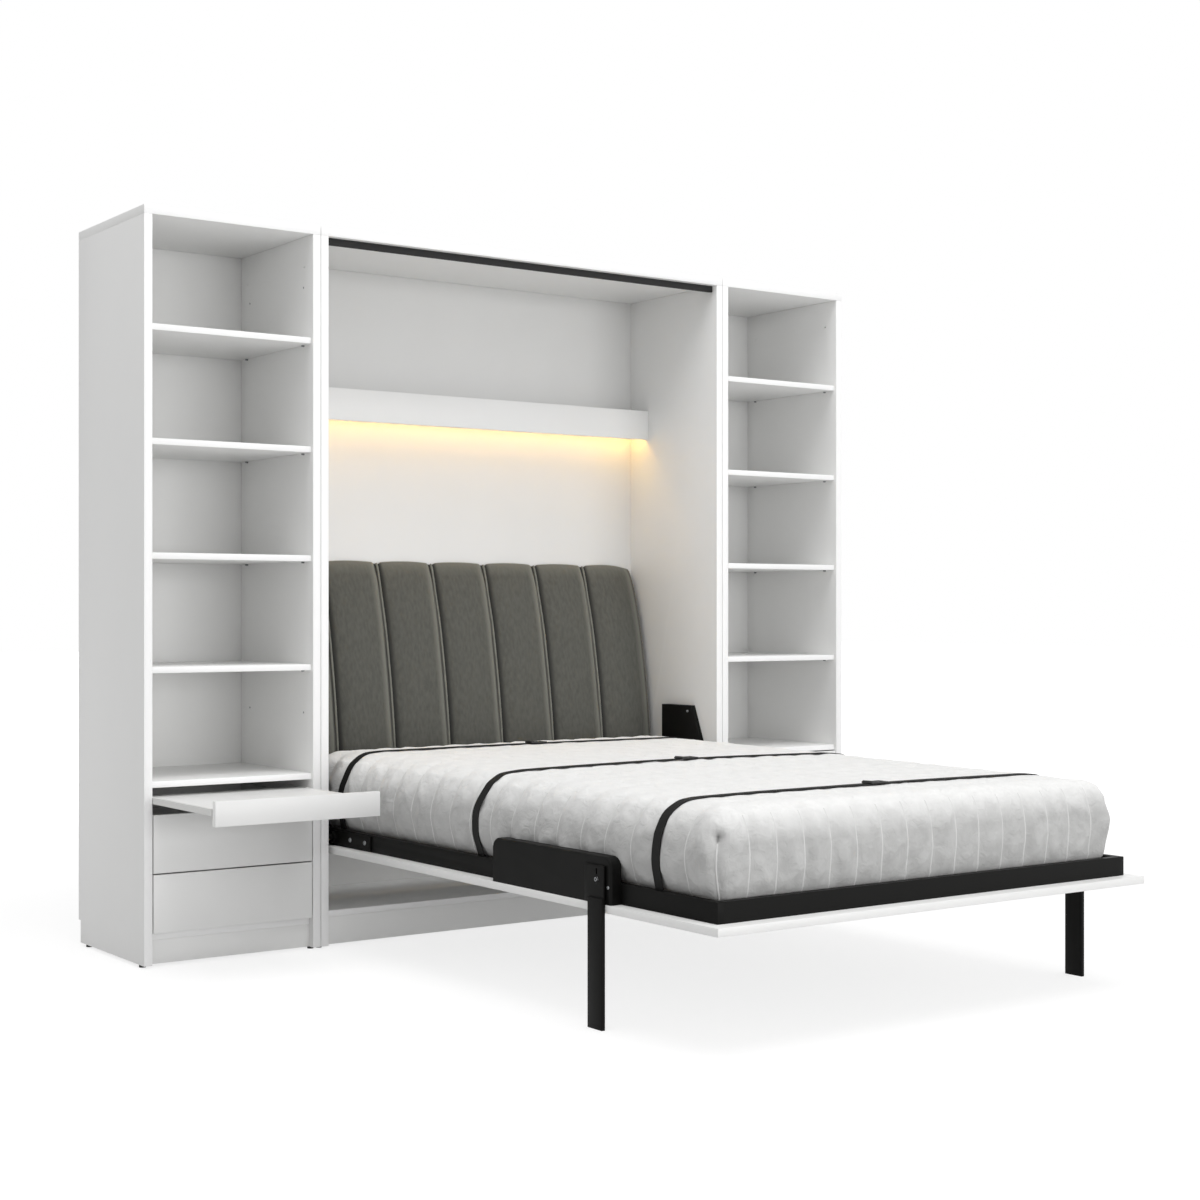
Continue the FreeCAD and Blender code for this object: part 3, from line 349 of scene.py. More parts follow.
# A painted highlight makes the right edge of each channel and its top paler, and painted shade makes it dark deep
# in each seam
nap = add(tree, "ShaderNodeAttribute", attribute_name="nap").outputs["Fac"]
fold = add(tree, "ShaderNodeAttribute", attribute_name="fold").outputs["Fac"]
shaded = blended(tree, fold, blended(tree, nap, pile, linear("#7B7B73")), linear("#232321"))
tree.links.new(shaded, shader.inputs["Base Color"])
embossed(tree, shader, brush, 0.45, 2 * MM)
finishes["velvet"] = velvet
print("made", velvet.name)

# %% White knit
# The knit has loops about 1.5 mm wide, drawn at 5 mm, and the quilting under it gives a faint mottle at 40 mm.
# Below the shoulder the cover is painted greyer than its top, painted shade on its sides, and the two meet along
# the shoulder.
SIDE_SHADE_FROM, SIDE_SHADE_TO = 0.47, 0.55
ticking, tree, shader = new_finish("white knitted ticking", Roughness=0.9, Sheen_Weight=0.12,
                                   Sheen_Roughness=0.5)
place = object_place(tree)
mottle = speckle(tree, place, 40 * MM, 4.0)
height = add(tree, "ShaderNodeSeparateXYZ", {0: place}).outputs["Z"]
side_shade = add(tree, "ShaderNodeMapRange", {0: height, 1: SIDE_SHADE_FROM, 2: SIDE_SHADE_TO}).outputs[0]
# The sides are painted grey and the top white: painted shade on the sides
knit_with_side_shade = blended(tree, side_shade, toned(tree, mottle, "#BBBBBA", "#C4C4C3", 0.38, 0.62),
               toned(tree, mottle, "#F0F0EF", "#F5F5F4", 0.35, 0.65))
tree.links.new(knit_with_side_shade, shader.inputs["Base Color"])
loops = add(tree, "ShaderNodeTexVoronoi", {"Vector": place, "Scale": 1 / (5 * MM)})
fine = add(tree, "ShaderNodeBump", {"Height": loops.outputs[0], "Strength": 0.12, "Distance": 0.5 * MM})
puckers = add(tree, "ShaderNodeTexNoise", {"Vector": place, "Scale": 1 / (26 * MM), "Detail": 4.0,
                                           "Distortion": 1.2})
bump = add(tree, "ShaderNodeBump", {"Height": puckers.outputs[0], "Strength": 0.8, "Distance": 5 * MM,
                                    "Normal": fine.outputs[0]})
tree.links.new(bump.outputs[0], shader.inputs["Normal"])
finishes["ticking"] = ticking
print("made", ticking.name)

# %% Black webbing
# Ribs cross the strap at 3 mm, read from the strap's own UV map, whose second part is metres along it
webbing, tree, shader = new_finish("black woven webbing", Base_Color=linear("#141413"), Roughness=0.75,
                                   Specular_IOR_Level=0.25)
along = add(tree, "ShaderNodeUVMap", uv_map="strap")
ribs = add(tree, "ShaderNodeTexWave", {"Vector": along.outputs[0], "Scale": 2 * math.pi / 20 / (3 * MM)},
           bands_direction="Y")
embossed(tree, shader, ribs.outputs[1], 0.5, 0.4 * MM)
finishes["webbing"] = webbing
print("made", webbing.name)

# %% [markdown]
# ## Finishes: the light strip
# A strip of warm light-emitting diodes sits under the display shelf, behind its front board, in a frosted cover. A
# surface that gives off light is enough: it lights the back board below it, as the real one does.

# %% Frosted light strip
frosted, tree, shader = new_finish("frosted light cover", Base_Color=linear("#FFF0C4"), Roughness=0.6,
                                   Emission_Color=linear("#FFCB6C"))
# The bare ends of the strip shine on the side boards more than its covered length does
BARE_END, COVERED_POWER, BARE_POWER = 50 * MM, 7.6, 36.0
light_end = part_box("led_strip")[1].x
apart = add(tree, "ShaderNodeSeparateXYZ", {0: object_place(tree)})
aside = add(tree, "ShaderNodeMath", {0: apart.outputs["X"]}, operation="ABSOLUTE")
power = add(tree, "ShaderNodeMapRange", {0: aside.outputs[0], 1: light_end - BARE_END, 2: light_end,
                                         3: COVERED_POWER, 4: BARE_POWER})
tree.links.new(power.outputs[0], shader.inputs["Emission Strength"])
finishes["light"] = frosted
print("made", frosted.name)

# %% Give every CAD node its finish
slot_of = {part["node"]: part["material_slot"] for part in frame["record"]["subparts"]}
finish_of = {name: finishes[slot_name] for name, slot_name in slot_of.items()}
# The board behind the bed takes the melamine with painted niche shade
finish_of["centre_back"] = niche_shaded_melamine
for name, node in frame["nodes"].items():
    for holder in node.material_slots:
        holder.material = finish_of[name]
print("nodes with a finish:", len(slot_of))

# %% [markdown]
# ## Soft edges on boards and steel
# No real board has a knife edge: the band glued to it is trimmed with a small round, and coated steel has one
# too. That round catches a thin line of light, and where two boards meet flush it makes the fine groove that the
# eye reads as a joint. The CAD meshes stay as they are, so each board is copied, merged and bevelled, and the copy
# stands for it.

# %% A bevelled copy of a CAD node
body_of = {node: body for body, nodes in frame["record"]["behaviour"]["bodies"].items() for node in nodes}


def declare(piece, slot_name, body, *nodes):
    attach(piece, body)
    if nodes:
        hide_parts(*nodes)
    return piece


def meshed(work, piece, sharp_degrees, finish):
    work.to_mesh(piece.data)
    work.free()
    piece.data.shade_smooth()
    piece.data.set_sharp_from_angle(angle=math.radians(sharp_degrees))
    piece.data.materials.append(finish)


MERGED, FLAT_ANGLE, EDGE_ANGLE, AT_WELD = 0.01 * MM, 0.01, 0.6, 0.1 * MM


def soft_edged(node, width, shortest, welded=None):
    source = frame["nodes"][node].data
    points = [v.co for v in source.vertices]
    piece = mesh_object(node + "_edged", points, [tuple(p.vertices) for p in source.polygons])
    work = bmesh.new()
    work.from_mesh(piece.data)
    bmesh.ops.remove_doubles(work, verts=work.verts, dist=MERGED)
    bmesh.ops.dissolve_limit(work, angle_limit=FLAT_ANGLE, verts=work.verts, edges=work.edges)
    sharp = [e for e in work.edges if e.is_manifold and e.is_convex
             and e.calc_face_angle() > EDGE_ANGLE and e.calc_length() > shortest
             and not (welded and all(abs(abs(v.co.x) - welded) < AT_WELD for v in e.verts))]
    bmesh.ops.bevel(work, geom=sharp, offset=width, segments=2, profile=0.5, affect="EDGES")
    meshed(work, piece, sharp_degrees=25, finish=finish_of[node])
    return declare(piece, slot_of[node], body_of[node], node)


print("bodies that pieces can ride on:", len(set(body_of.values())))

# %% Bevel the boards and the steel
BOARD_ROUND, SHORTEST_BOARD_EDGE = 0.9 * MM, 12 * MM
STEEL_ROUND, SHORTEST_STEEL_EDGE = 1.4 * MM, 8 * MM
# The kinds of board whose front-facing faces get the painted highlight
FRONT_HIGHLIGHTED_BOARDS = ("side", "sides", "top", "tops", "floor", "floors", "shelves")
FACES_FRONT = -0.9
boards = [node for node, name in slot_of.items() if name == "white_laminate"]
for node in boards:
    piece = soft_edged(node, BOARD_ROUND, SHORTEST_BOARD_EDGE)
    if node.split("_")[-1] in FRONT_HIGHLIGHTED_BOARDS:
        # Faces turned to the front are marked for the painted highlight
        marks = [1.0 if face.normal.y < FACES_FRONT else 0.0 for face in piece.data.polygons]
        piece.data.attributes.new("band", "FLOAT", "FACE").data.foreach_set("value", marks)
steel = ["side_rails", "foot_rail", "head_rail", "hinge_covers", "bed_brackets", "leg_housings",
         "left_leg", "right_leg", "top_seal"]
for node in steel:
    # The rails are welded and ground flush, so the corners where they meet have no groove
    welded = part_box("foot_rail")[1].x if "rail" in node else None
    soft_edged(node, STEEL_ROUND, SHORTEST_STEEL_EDGE, welded)
print("bevelled copies:", len(boards), "boards and", len(steel), "steel pieces")

# %% [markdown]
# ## Mattress: the sewn cover
# The mattress is a knitted cover, quilted in squares of about 85 by 100 mm and stuffed, so it has puffs between
# its stitch lines. It starts as a grid on a rounded box, a little smaller than the CAD mattress, with a whole
# number of grid steps between stitch lines. A grid like this, rather than a remeshed lump, lets each stitch line
# fall on a row of points that can be held down.

# %% A grid on the outside of a box
def box_grid(across, along, up):
    index, faces = {}, []

    def at(*place):
        return index.setdefault(place, len(index))

    for i in range(across):
        for j in range(along):
            faces.append((at(i, j, up), at(i + 1, j, up), at(i + 1, j + 1, up), at(i, j + 1, up)))
            faces.append((at(i, j, 0), at(i, j + 1, 0), at(i + 1, j + 1, 0), at(i + 1, j, 0)))
        for k in range(up):
            faces.append((at(i, 0, k), at(i + 1, 0, k), at(i + 1, 0, k + 1), at(i, 0, k + 1)))
            faces.append((at(i, along, k), at(i, along, k + 1), at(i + 1, along, k + 1), at(i + 1, along, k)))
    for j in range(along):
        for k in range(up):
            faces.append((at(0, j, k), at(0, j, k + 1), at(0, j + 1, k + 1), at(0, j + 1, k)))
            faces.append((at(across, j, k), at(across, j + 1, k), at(across, j + 1, k + 1), at(across, j, k + 1)))
    return index, faces


SQUARES_ACROSS, STEPS_ACROSS = 16, 5
SQUARES_ALONG, STEPS_ALONG = 19, 6
STEPS_UP = 14
grid, quads = box_grid(SQUARES_ACROSS * STEPS_ACROSS, SQUARES_ALONG * STEPS_ALONG, STEPS_UP)
print("mattress grid:", len(grid), "points and", len(quads), "faces")

# %% Round the box into a mattress
low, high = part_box("mattress")
BULGE, CROWN, SHRUNK, HEAD_RISE = 18 * MM, 8 * MM, 6 * MM, 10 * MM
BELLY_HEIGHT, BELLY_SPREAD, END_BELLY_SHARE = 0.435, 0.055, 0.5
SHOULDER, BOTTOM_ROUND, CORNER_POWER = 88 * MM, 30 * MM, 9
middle_y = (low.y + high.y) / 2
half_width = high.x - BULGE - SHRUNK
half_length = (high.y - low.y) / 2 - SHRUNK
cover_top = high.z - CROWN - SHRUNK
across, along = SQUARES_ACROSS * STEPS_ACROSS, SQUARES_ALONG * STEPS_ALONG


def flat_place(i, j, k):
    x, y = half_width * (2 * i / across - 1), half_length * (2 * j / along - 1)
    out_x = max(abs(x) - half_width + SHOULDER, 0) / SHOULDER
    out_y = max(abs(y) - half_length + SHOULDER, 0) / SHOULDER
    return x, y, low.z + (cover_top - low.z) * k / STEPS_UP, out_x, out_y


def mattress_point(i, j, k):
    x, y, z, out_x, out_y = flat_place(i, j, k)
    rise = max(z - cover_top + SHOULDER, 0) / SHOULDER - max(low.z + BOTTOM_ROUND - z, 0) / BOTTOM_ROUND
    plan = (out_x ** CORNER_POWER + out_y ** CORNER_POWER) ** (1 / CORNER_POWER)
    # Both ends have a tighter shoulder than the long sides
    tight = 2 + out_y
    reach = max((plan ** tight + abs(rise) ** tight) ** (1 / tight), 1)
    x = math.copysign(min(abs(x), half_width - SHOULDER) + out_x * SHOULDER / reach, x)
    y = math.copysign(min(abs(y), half_length - SHOULDER) + out_y * SHOULDER / reach, y)
    if rise > 0:
        z = cover_top - SHOULDER + rise * SHOULDER / reach
    elif rise < 0:
        z = low.z + BOTTOM_ROUND + rise * BOTTOM_ROUND / reach
    belly = BULGE * math.exp(-((z - BELLY_HEIGHT) / BELLY_SPREAD) ** 2)
    crown = (1 - (x / half_width) ** 2) * (1 - (y / half_length) ** 2)
    tilt = HEAD_RISE * (y / half_length + 1)
    x += math.copysign(belly * (out_x / reach) ** 2, x)
    y += math.copysign(belly * END_BELLY_SHARE * (out_y / reach) ** 2, y)
    return x, y + middle_y, z + (CROWN * max(crown, 0) + tilt) * max(rise, 0) / reach


mattress_cage = mesh_object("mattress_cage", [mattress_point(*place) for place in grid], quads)
print("cover before stuffing:", [round(d, 3) for d in mattress_cage.dimensions])

# %% Draw the puffs between the stitch lines
RAIL_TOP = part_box("side_rails")[1].z
SIDE_PUFF, TOP_PUFF, PUFF_POWER = 12 * MM, 2.5 * MM, 1.8
FREE_HEIGHT, WANDER_RATE, WANDER_MM = 40 * MM, 9, 3


def domed(step, steps, edge):
    dome = 1 - abs(2 * (step % steps) / steps - 1) ** PUFF_POWER
    return dome + (1 - dome) * edge ** 2


rested = [v.normal.copy() for v in mattress_cage.data.vertices]
for (i, j, k), number in grid.items():
    x, y, z, out_x, out_y = flat_place(i, j, k)
    vertex = mattress_cage.data.vertices[number]
    clear = min(max((vertex.co.z - RAIL_TOP) / FREE_HEIGHT, 0), 1)
    puff = TOP_PUFF + (SIDE_PUFF - TOP_PUFF) * max(out_x, out_y) ** 2
    puff *= domed(i, STEPS_ACROSS, out_x) * domed(j, STEPS_ALONG, out_y) * (1 - (out_x * out_y) ** 4)
    # Hand-guided stitching wanders a little, so the lines aren't ruler straight
    wander = noise.noise_vector(vertex.co * WANDER_RATE) * WANDER_MM * MM * clear
    wander -= rested[number] * wander.dot(rested[number])
    vertex.co += rested[number] * puff * clear + wander
print("puffs:", SQUARES_ACROSS, "by", SQUARES_ALONG)

# %% [markdown]
# ## Mattress: the stuffing
# Cloth under a little pressure finds the small wrinkles by itself. The stitch lines, the bottom and the part
# inside the frame are pinned, and the cloth of the sides is cut a few parts in a hundred too long, so that it has
# to fold. No point may move more than a cap, because a real filling stops the cover long before that.

# %% Stuff a cover with cloth simulation
CLOTH_FRAMES = 20


def stuffed(cage, sewn, slack, stretch, cap):
    held = cage.vertex_groups.new(name="sewn")
    held.add(sorted(sewn), 1.0, "REPLACE")
    loose = cage.vertex_groups.new(name="slack")
    for number, weight in slack.items():
        loose.add([number], weight, "REPLACE")
    start = [v.co.copy() for v in cage.data.vertices]
    cloth = cage.modifiers.new("cloth", "CLOTH")
    cloth.collision_settings.use_collision = False
    rules = cloth.settings
    rules.quality = 5
    rules.mass = 0.3
    rules.tension_stiffness = rules.compression_stiffness = 15
    rules.shear_stiffness = 5
    rules.bending_stiffness = 0.5
    rules.vertex_group_mass = held.name
    rules.vertex_group_shrink = loose.name
    rules.shrink_min, rules.shrink_max = 0.0, -stretch
    rules.use_pressure = True
    rules.uniform_pressure_force = 4
    rules.effector_weights.gravity = 0
    cloth.point_cache.frame_start, cloth.point_cache.frame_end = 1, CLOTH_FRAMES
    for number in range(1, CLOTH_FRAMES + 1):
        scene.frame_set(number)
    moved = cage.evaluated_get(bpy.context.evaluated_depsgraph_get()).data.vertices
    ends = [v.co.copy() for v in moved]
    cage.modifiers.remove(cloth)
    for vertex, before, after in zip(cage.data.vertices, start, ends):
        step = after - before
        limit = cap(before)
        vertex.co = before + step * (min(step.length, limit) / max(step.length, 1e-9))
    scene.frame_set(1)
    steps = sorted((after - before).length for before, after in zip(start, ends))
    told = [round(steps[n] / MM, 1) for n in (len(steps) // 2, -1)]
    print("middle and largest step of the cloth in mm:", told)
    return cage


HELD_ABOVE_RAIL, SLACK_RATE, TOP_SLACK_SHARE, SIDE_STRETCH = 8 * MM, 14, 0.2, 0.07
SLACK_MEAN, SLACK_SWING = 0.75, 0.5
SIDE_CAP, TOP_CAP, TOP_CAP_DEPTH = 9 * MM, 4 * MM, 25 * MM
sewn, slack = set(), {}
for (i, j, k), number in grid.items():
    place = mattress_cage.data.vertices[number].co
    line_over = j % STEPS_ALONG == 0 and (k == STEPS_UP or i in (0, across))
    line_along = i % STEPS_ACROSS == 0 and (k == STEPS_UP or j in (0, along))
    if place.z < RAIL_TOP + HELD_ABOVE_RAIL or line_over or line_along:
        sewn.add(number)
    wrinkle = SLACK_MEAN + SLACK_SWING * noise.noise(place * SLACK_RATE)
    slack[number] = min(max(wrinkle * (1.0 if k < STEPS_UP else TOP_SLACK_SHARE), 0), 1)
stuffed(mattress_cage, sewn, slack, SIDE_STRETCH,
        lambda place: SIDE_CAP if place.z < cover_top - TOP_CAP_DEPTH else TOP_CAP)
print("points held by stitches or the frame:", len(sewn))

# %% Smooth the stuffed cover
def plain(holder, name):
    bpy.context.view_layer.update()
    shown = holder.evaluated_get(bpy.context.evaluated_depsgraph_get())
    piece = bpy.data.objects.new(name, bpy.data.meshes.new_from_object(shown))
    scene.collection.objects.link(piece)
    bpy.data.objects.remove(holder)
    return piece


CREASE = 0.7


def smoothed(cage, name, creased, finish):
    crease = cage.data.attributes.new("crease_edge", "FLOAT", "EDGE")
    for edge in cage.data.edges:
        crease.data[edge.index].value = CREASE if all(v in creased for v in edge.vertices) else 0
    smooth = cage.modifiers.new("smooth", "SUBSURF")
    smooth.levels = smooth.render_levels = 1
    piece = plain(cage, name)
    piece.data.shade_smooth()
    piece.data.materials.clear()
    piece.data.materials.append(finish)
    return piece


# The corner seams draw the cloth in, and at the top of each it is tucked, which leaves a small dark hole
SEAM_DRAW, TUCK, TUCK_ROW = 5.5 * MM, 30 * MM, STEPS_UP - 4
for i, side in ((0, -1), (across, 1)):
    for j, end in ((0, -1), (along, 1)):
        for k in range(TUCK_ROW + 1):
            inward = Vector((-side, -end, 0)) * (TUCK if k == TUCK_ROW else SEAM_DRAW)
            mattress_cage.data.vertices[grid[i, j, k]].co += inward
stitched = {n for n in sewn if mattress_cage.data.vertices[n].co.z > RAIL_TOP}
mattress = smoothed(mattress_cage, "mattress_cover", stitched, ticking)
print("cover after smoothing:", len(mattress.data.vertices), "points")

# %% Crumple the sides of the cover
# Ridged noise gives the short, sharp folds of loose cloth, and its lines run a little more up than along. Stitches
# hold the cloth, so the folds die out close to a stitch line.
HELD_WIDTH, HELD_SHARE, TOP_CALM = 26 * MM, 0.25, 0.75
# Folds to a metre, their height in mm and how sharp their ridge is, and then a broad swell without a ridge
BROAD_RATE, BROAD_MM, BROAD_SHARP = 13, 6.0, 3.6
SMALL_RATE, SMALL_MM, SMALL_SHARP = 24, 4.2, 3.0
SWELL_RATE, SWELL_MM, SETTLE_MM = 8, 5.0, 3.6
FLAT_EDGE, FOLDS_GROW, UPRIGHT_SHARE = 5 * MM, 30 * MM, 0.6
APART = Vector((5, 5, 5))


def looseness(place, normal):
    if abs(normal.x) > abs(normal.y):
        run, pitch = place.y - middle_y + half_length, 2 * half_length / SQUARES_ALONG
    else:
        run, pitch = place.x + half_width, 2 * half_width / SQUARES_ACROSS
    off = abs((run / pitch + 0.5) % 1 - 0.5) * pitch
    return HELD_SHARE + (1 - HELD_SHARE) * min(off / HELD_WIDTH, 1)


rested = [v.normal.copy() for v in mattress.data.vertices]
for vertex, normal in zip(mattress.data.vertices, rested):
    clear = min(max((vertex.co.z - RAIL_TOP - FLAT_EDGE) / FOLDS_GROW, 0), 1)
    flat = max(normal.z, 0) ** 2
    spot = Vector((vertex.co.x, vertex.co.y, vertex.co.z * UPRIGHT_SHARE))
    broad, small = noise.noise(spot * BROAD_RATE), noise.noise(spot * SMALL_RATE + APART)
    folds = BROAD_MM * max(1 - BROAD_SHARP * abs(broad), 0) + SMALL_MM * max(1 - SMALL_SHARP * abs(small), 0)
    folds = folds + SWELL_MM * noise.noise(spot * SWELL_RATE) - SETTLE_MM
    vertex.co += normal * clear * (1 - TOP_CALM * flat) * looseness(vertex.co, normal) * folds * MM
declare(mattress, "ticking", "bed", "mattress")
print("mattress:", [round(d, 3) for d in mattress.dimensions], len(mattress.data.polygons), "faces")

# %% [markdown]
# ## Mattress: stitch lines and corner piping
# Each stitch line on the sides is a cord of thread that lies partly in the cloth, and a thinner piping closes the
# four corners. They follow lines that are already in the cover, so a Geometry Nodes tree turns lines of points
# into round cords.

# %% A Geometry Nodes tree that makes cords of lines
def new_tree(name, output, **inputs):
    tree = bpy.data.node_groups.new(name, "GeometryNodeTree")
    keys = {}
    for socket, kind in inputs.items():
        kind = "NodeSocket" + kind
        keys[socket] = tree.interface.new_socket(socket, in_out="INPUT", socket_type=kind).identifier
    tree.interface.new_socket(output, in_out="OUTPUT", socket_type="NodeSocketGeometry")
    return tree, keys, add(tree, "NodeGroupInput").outputs


def through_tree(mesh, name, tree, keys, **values):
    holder = bpy.data.objects.new(name + "_points", mesh)
    scene.collection.objects.link(holder)
    nodes = holder.modifiers.new(tree.name, "NODES")
    nodes.node_group = tree
    for socket, value in values.items():
        nodes[keys[socket]] = value
    return plain(holder, name)


cord_tree, cord_keys, given = new_tree("cord along lines", "Cords", Lines="Geometry", Radius="Float",
                                       Sides="Int", Finish="Material")
line = add(cord_tree, "GeometryNodeMeshToCurve", {"Mesh": given["Lines"]})
ring = add(cord_tree, "GeometryNodeCurvePrimitiveCircle",
           {"Resolution": given["Sides"], "Radius": given["Radius"]})
tube = add(cord_tree, "GeometryNodeCurveToMesh",
           {"Curve": line.outputs[0], "Profile Curve": ring.outputs[0], "Fill Caps": True})
even = add(cord_tree, "GeometryNodeSetShadeSmooth", {"Geometry": tube.outputs[0]})
real = add(cord_tree, "GeometryNodeRealizeInstances", {"Geometry": even.outputs[0]})
dyed = add(cord_tree, "GeometryNodeSetMaterial", {"Geometry": real.outputs[0], "Material": given["Finish"]})
add(cord_tree, "NodeGroupOutput", {"Cords": dyed.outputs[0]})


def cords(name, lines, radius, sides, finish):
    points, edges = [], []
    for path in lines:
        edges += [(len(points) + n, len(points) + n + 1) for n in range(len(path) - 1)]
        points += [tuple(p) for p in path]
    mesh = bpy.data.meshes.new(name)
    mesh.from_pydata(points, edges, [])
    return through_tree(mesh, name, cord_tree, cord_keys, Radius=radius, Sides=sides, Finish=finish)


print("cord tree has", len(cord_tree.nodes), "nodes")

# %% Stitch cords on the sides and piping at the corners
# The thread is painted a light grey that carries the painted shade of the sides, a touch brighter than the sides
# that it lies on
thread, tree, shader = new_finish("white polyester thread", Base_Color=linear("#D9D9D8"), Roughness=0.8)
embossed(tree, shader, speckle(tree, object_place(tree), 3 * MM), 0.3, 0.3 * MM)

surface = mattress.data.vertices
STITCH_RADIUS, STITCH_SUNK, PIPING_RADIUS, CORD_SIDES = 3.4 * MM, 2 * MM, 2.6 * MM, 8
BEHIND_RAIL = 10 * MM
in_view = [k for k in range(STEPS_UP + 1) if surface[grid[0, along // 2, k]].co.z > RAIL_TOP - BEHIND_RAIL]


def sunk_line(i, j):
    return [surface[grid[i, j, k]].co - surface[grid[i, j, k]].normal * STITCH_SUNK for k in in_view]


side_lines = [sunk_line(i, j) for i in (0, across) for j in range(STEPS_ALONG, along, STEPS_ALONG)]
side_lines += [sunk_line(i, j) for j in (0, along) for i in range(STEPS_ACROSS, across, STEPS_ACROSS)]
stitches = cords("mattress_stitches", side_lines, STITCH_RADIUS, CORD_SIDES, thread)
declare(stitches, "ticking", "bed")

corner_lines = [[surface[grid[i, j, k]].co for k in in_view if k < TUCK_ROW]
                for i in (0, across) for j in (0, along)]
piping = cords("mattress_corner_piping", corner_lines, PIPING_RADIUS, CORD_SIDES, thread)
declare(piping, "ticking", "bed")
print("stitch lines:", len(side_lines), "and corners:", len(corner_lines))

# %% [markdown]
# ## Straps over the mattress
# Three webbing straps hold the mattress while the bed is upright. A taut strap bridges the puffs under it, so its
# line is the convex hull of the mattress's outline there. The outline is found by casting rays at the finished
# cover, and each strap is then swept along its hull as a thin flat band, whose UV map carries the weave along it.

# %% The taut line over the mattress
cover = BVHTree.FromObject(mattress, bpy.context.evaluated_depsgraph_get())
STRAP_WIDTH, STRAP_THICKNESS = 30 * MM, 2 * MM


RAY_STEP_MM, STEPS_ASIDE, STEPS_HIGH = 5, 138, 40
RAY_HEIGHT, RAY_ASIDE = 0.8, 0.9
INSIDE_RAIL, OFF_BULGE = 12 * MM, 1 * MM


def taut_line(y):
    outline = [Vector((side * (high.x - BULGE + OFF_BULGE), RAIL_TOP - INSIDE_RAIL)) for side in (-1, 1)]
    for row in (-0.5, -0.25, 0, 0.25, 0.5):
        at_y = y + row * STRAP_WIDTH
        for step in range(-STEPS_ASIDE, STEPS_ASIDE + 1):
            hit = cover.ray_cast(Vector((step * RAY_STEP_MM * MM, at_y, RAY_HEIGHT)), Vector((0, 0, -1)))[0]
            outline += [Vector((hit.x, hit.z))] if hit else []
        for step in range(STEPS_HIGH):
            z = RAIL_TOP + step * RAY_STEP_MM * MM
            for side in (-1, 1):
                hit = cover.ray_cast(Vector((side * RAY_ASIDE, at_y, z)), Vector((-side, 0, 0)))[0]
                outline += [Vector((hit.x, hit.z))] if hit else []
    hull = [outline[number] for number in convex_hull_2d(outline)]
    lowest_left = min(range(len(hull)), key=lambda n: (round(hull[n].y, 4), hull[n].x))
    hull = hull[lowest_left:] + hull[:lowest_left]
    if hull[1].y < hull[-1].y:
        hull = hull[:1] + hull[:0:-1]
    return hull


STRAP_STEP = 12 * MM


def spaced(path, step):
    lengths = [(b - a).length for a, b in zip(path, path[1:])]
    count = max(int(sum(lengths) / step), 2)
    found, passed, leg = [], 0.0, 0
    for number in range(count + 1):
        goal = sum(lengths) * number / count
        while leg < len(lengths) - 1 and passed + lengths[leg] < goal:
            passed += lengths[leg]
            leg += 1
        found.append(path[leg].lerp(path[leg + 1], min((goal - passed) / max(lengths[leg], 1e-9), 1)))
    return found


strap_low, strap_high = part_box("mattress_straps")
strap_places = [strap_low.y + STRAP_WIDTH / 2, (strap_low.y + strap_high.y) / 2, strap_high.y - STRAP_WIDTH / 2]
strap_lines = [spaced(taut_line(y), STRAP_STEP) for y in strap_places]
print("strap points:", [len(path) for path in strap_lines], "first", [round(c, 3) for c in strap_lines[0][0]])

# %% Sweep the straps
half_strap, half_thick, trim = STRAP_WIDTH / 2, STRAP_THICKNESS / 2, 0.6 * MM
STRAP_LIFT, INSIDE = 0.4 * MM, Vector((0, 0.4))
strap_profile = [(-half_strap, trim - half_thick), (trim - half_strap, -half_thick),
                 (half_strap - trim, -half_thick), (half_strap, trim - half_thick),
                 (half_strap, half_thick - trim), (half_strap - trim, half_thick),
                 (trim - half_strap, half_thick), (-half_strap, half_thick - trim)]
work = bmesh.new()
weave = work.loops.layers.uv.new("strap")
for y, path in zip(strap_places, strap_lines):
    rings = []
    for number, point in enumerate(path):
        ahead = path[min(number + 1, len(path) - 1)] - path[max(number - 1, 0)]
        out = Vector((-ahead.y, ahead.x)).normalized()
        if out.dot(point - INSIDE) < 0:
            out = -out
        spots = [point + out * (half_thick + STRAP_LIFT + lift) for aside, lift in strap_profile]
        rings.append([work.verts.new((spot.x, y + aside, spot.y))
                      for spot, (aside, lift) in zip(spots, strap_profile)])
    sides = len(strap_profile)
    for number in range(len(rings) - 1):
        for n in range(sides):
            m = (n + 1) % sides
            face = work.faces.new((rings[number][n], rings[number][m], rings[number + 1][m], rings[number + 1][n]))
            for loop, (edge, far) in zip(face.loops, ((n, 0), (m, 0), (m, 1), (n, 1))):
                loop[weave].uv = (strap_profile[edge][0], (number + far) * STRAP_STEP)
    work.faces.new(rings[0][::-1])
    work.faces.new(rings[-1])
bmesh.ops.recalc_face_normals(work, faces=work.faces)
straps = mesh_object("mattress_strap_bands", [], [])
meshed(work, straps, sharp_degrees=30, finish=webbing)
declare(straps, "webbing", "bed", "mattress_straps")
print("straps:", [round(d, 3) for d in straps.dimensions])

# %% [markdown]
# ## Strap buckles
# Each strap is pulled tight through a moulded ladder-lock buckle: a frame with three cross bars and a thumb tab
# that stands up at one end. It is small, so bevelled bars joined in one mesh are enough.

# %% Ladder-lock buckles
def bar(work, centre, size, round_off, lean):
    made = bmesh.ops.create_cube(work, size=1)["verts"]
    bmesh.ops.scale(work, vec=size, verts=made)
    edges = list({e for v in made for e in v.link_edges})
    grown = bmesh.ops.bevel(work, geom=edges, offset=round_off, segments=3, profile=0.5, affect="EDGES")["verts"]
    made = list({v for v in made if v.is_valid} | set(grown))
    bmesh.ops.rotate(work, verts=made, cent=(0, 0, 0), matrix=Matrix.Rotation(lean, 3, "Y"))
    bmesh.ops.translate(work, verts=made, vec=centre)


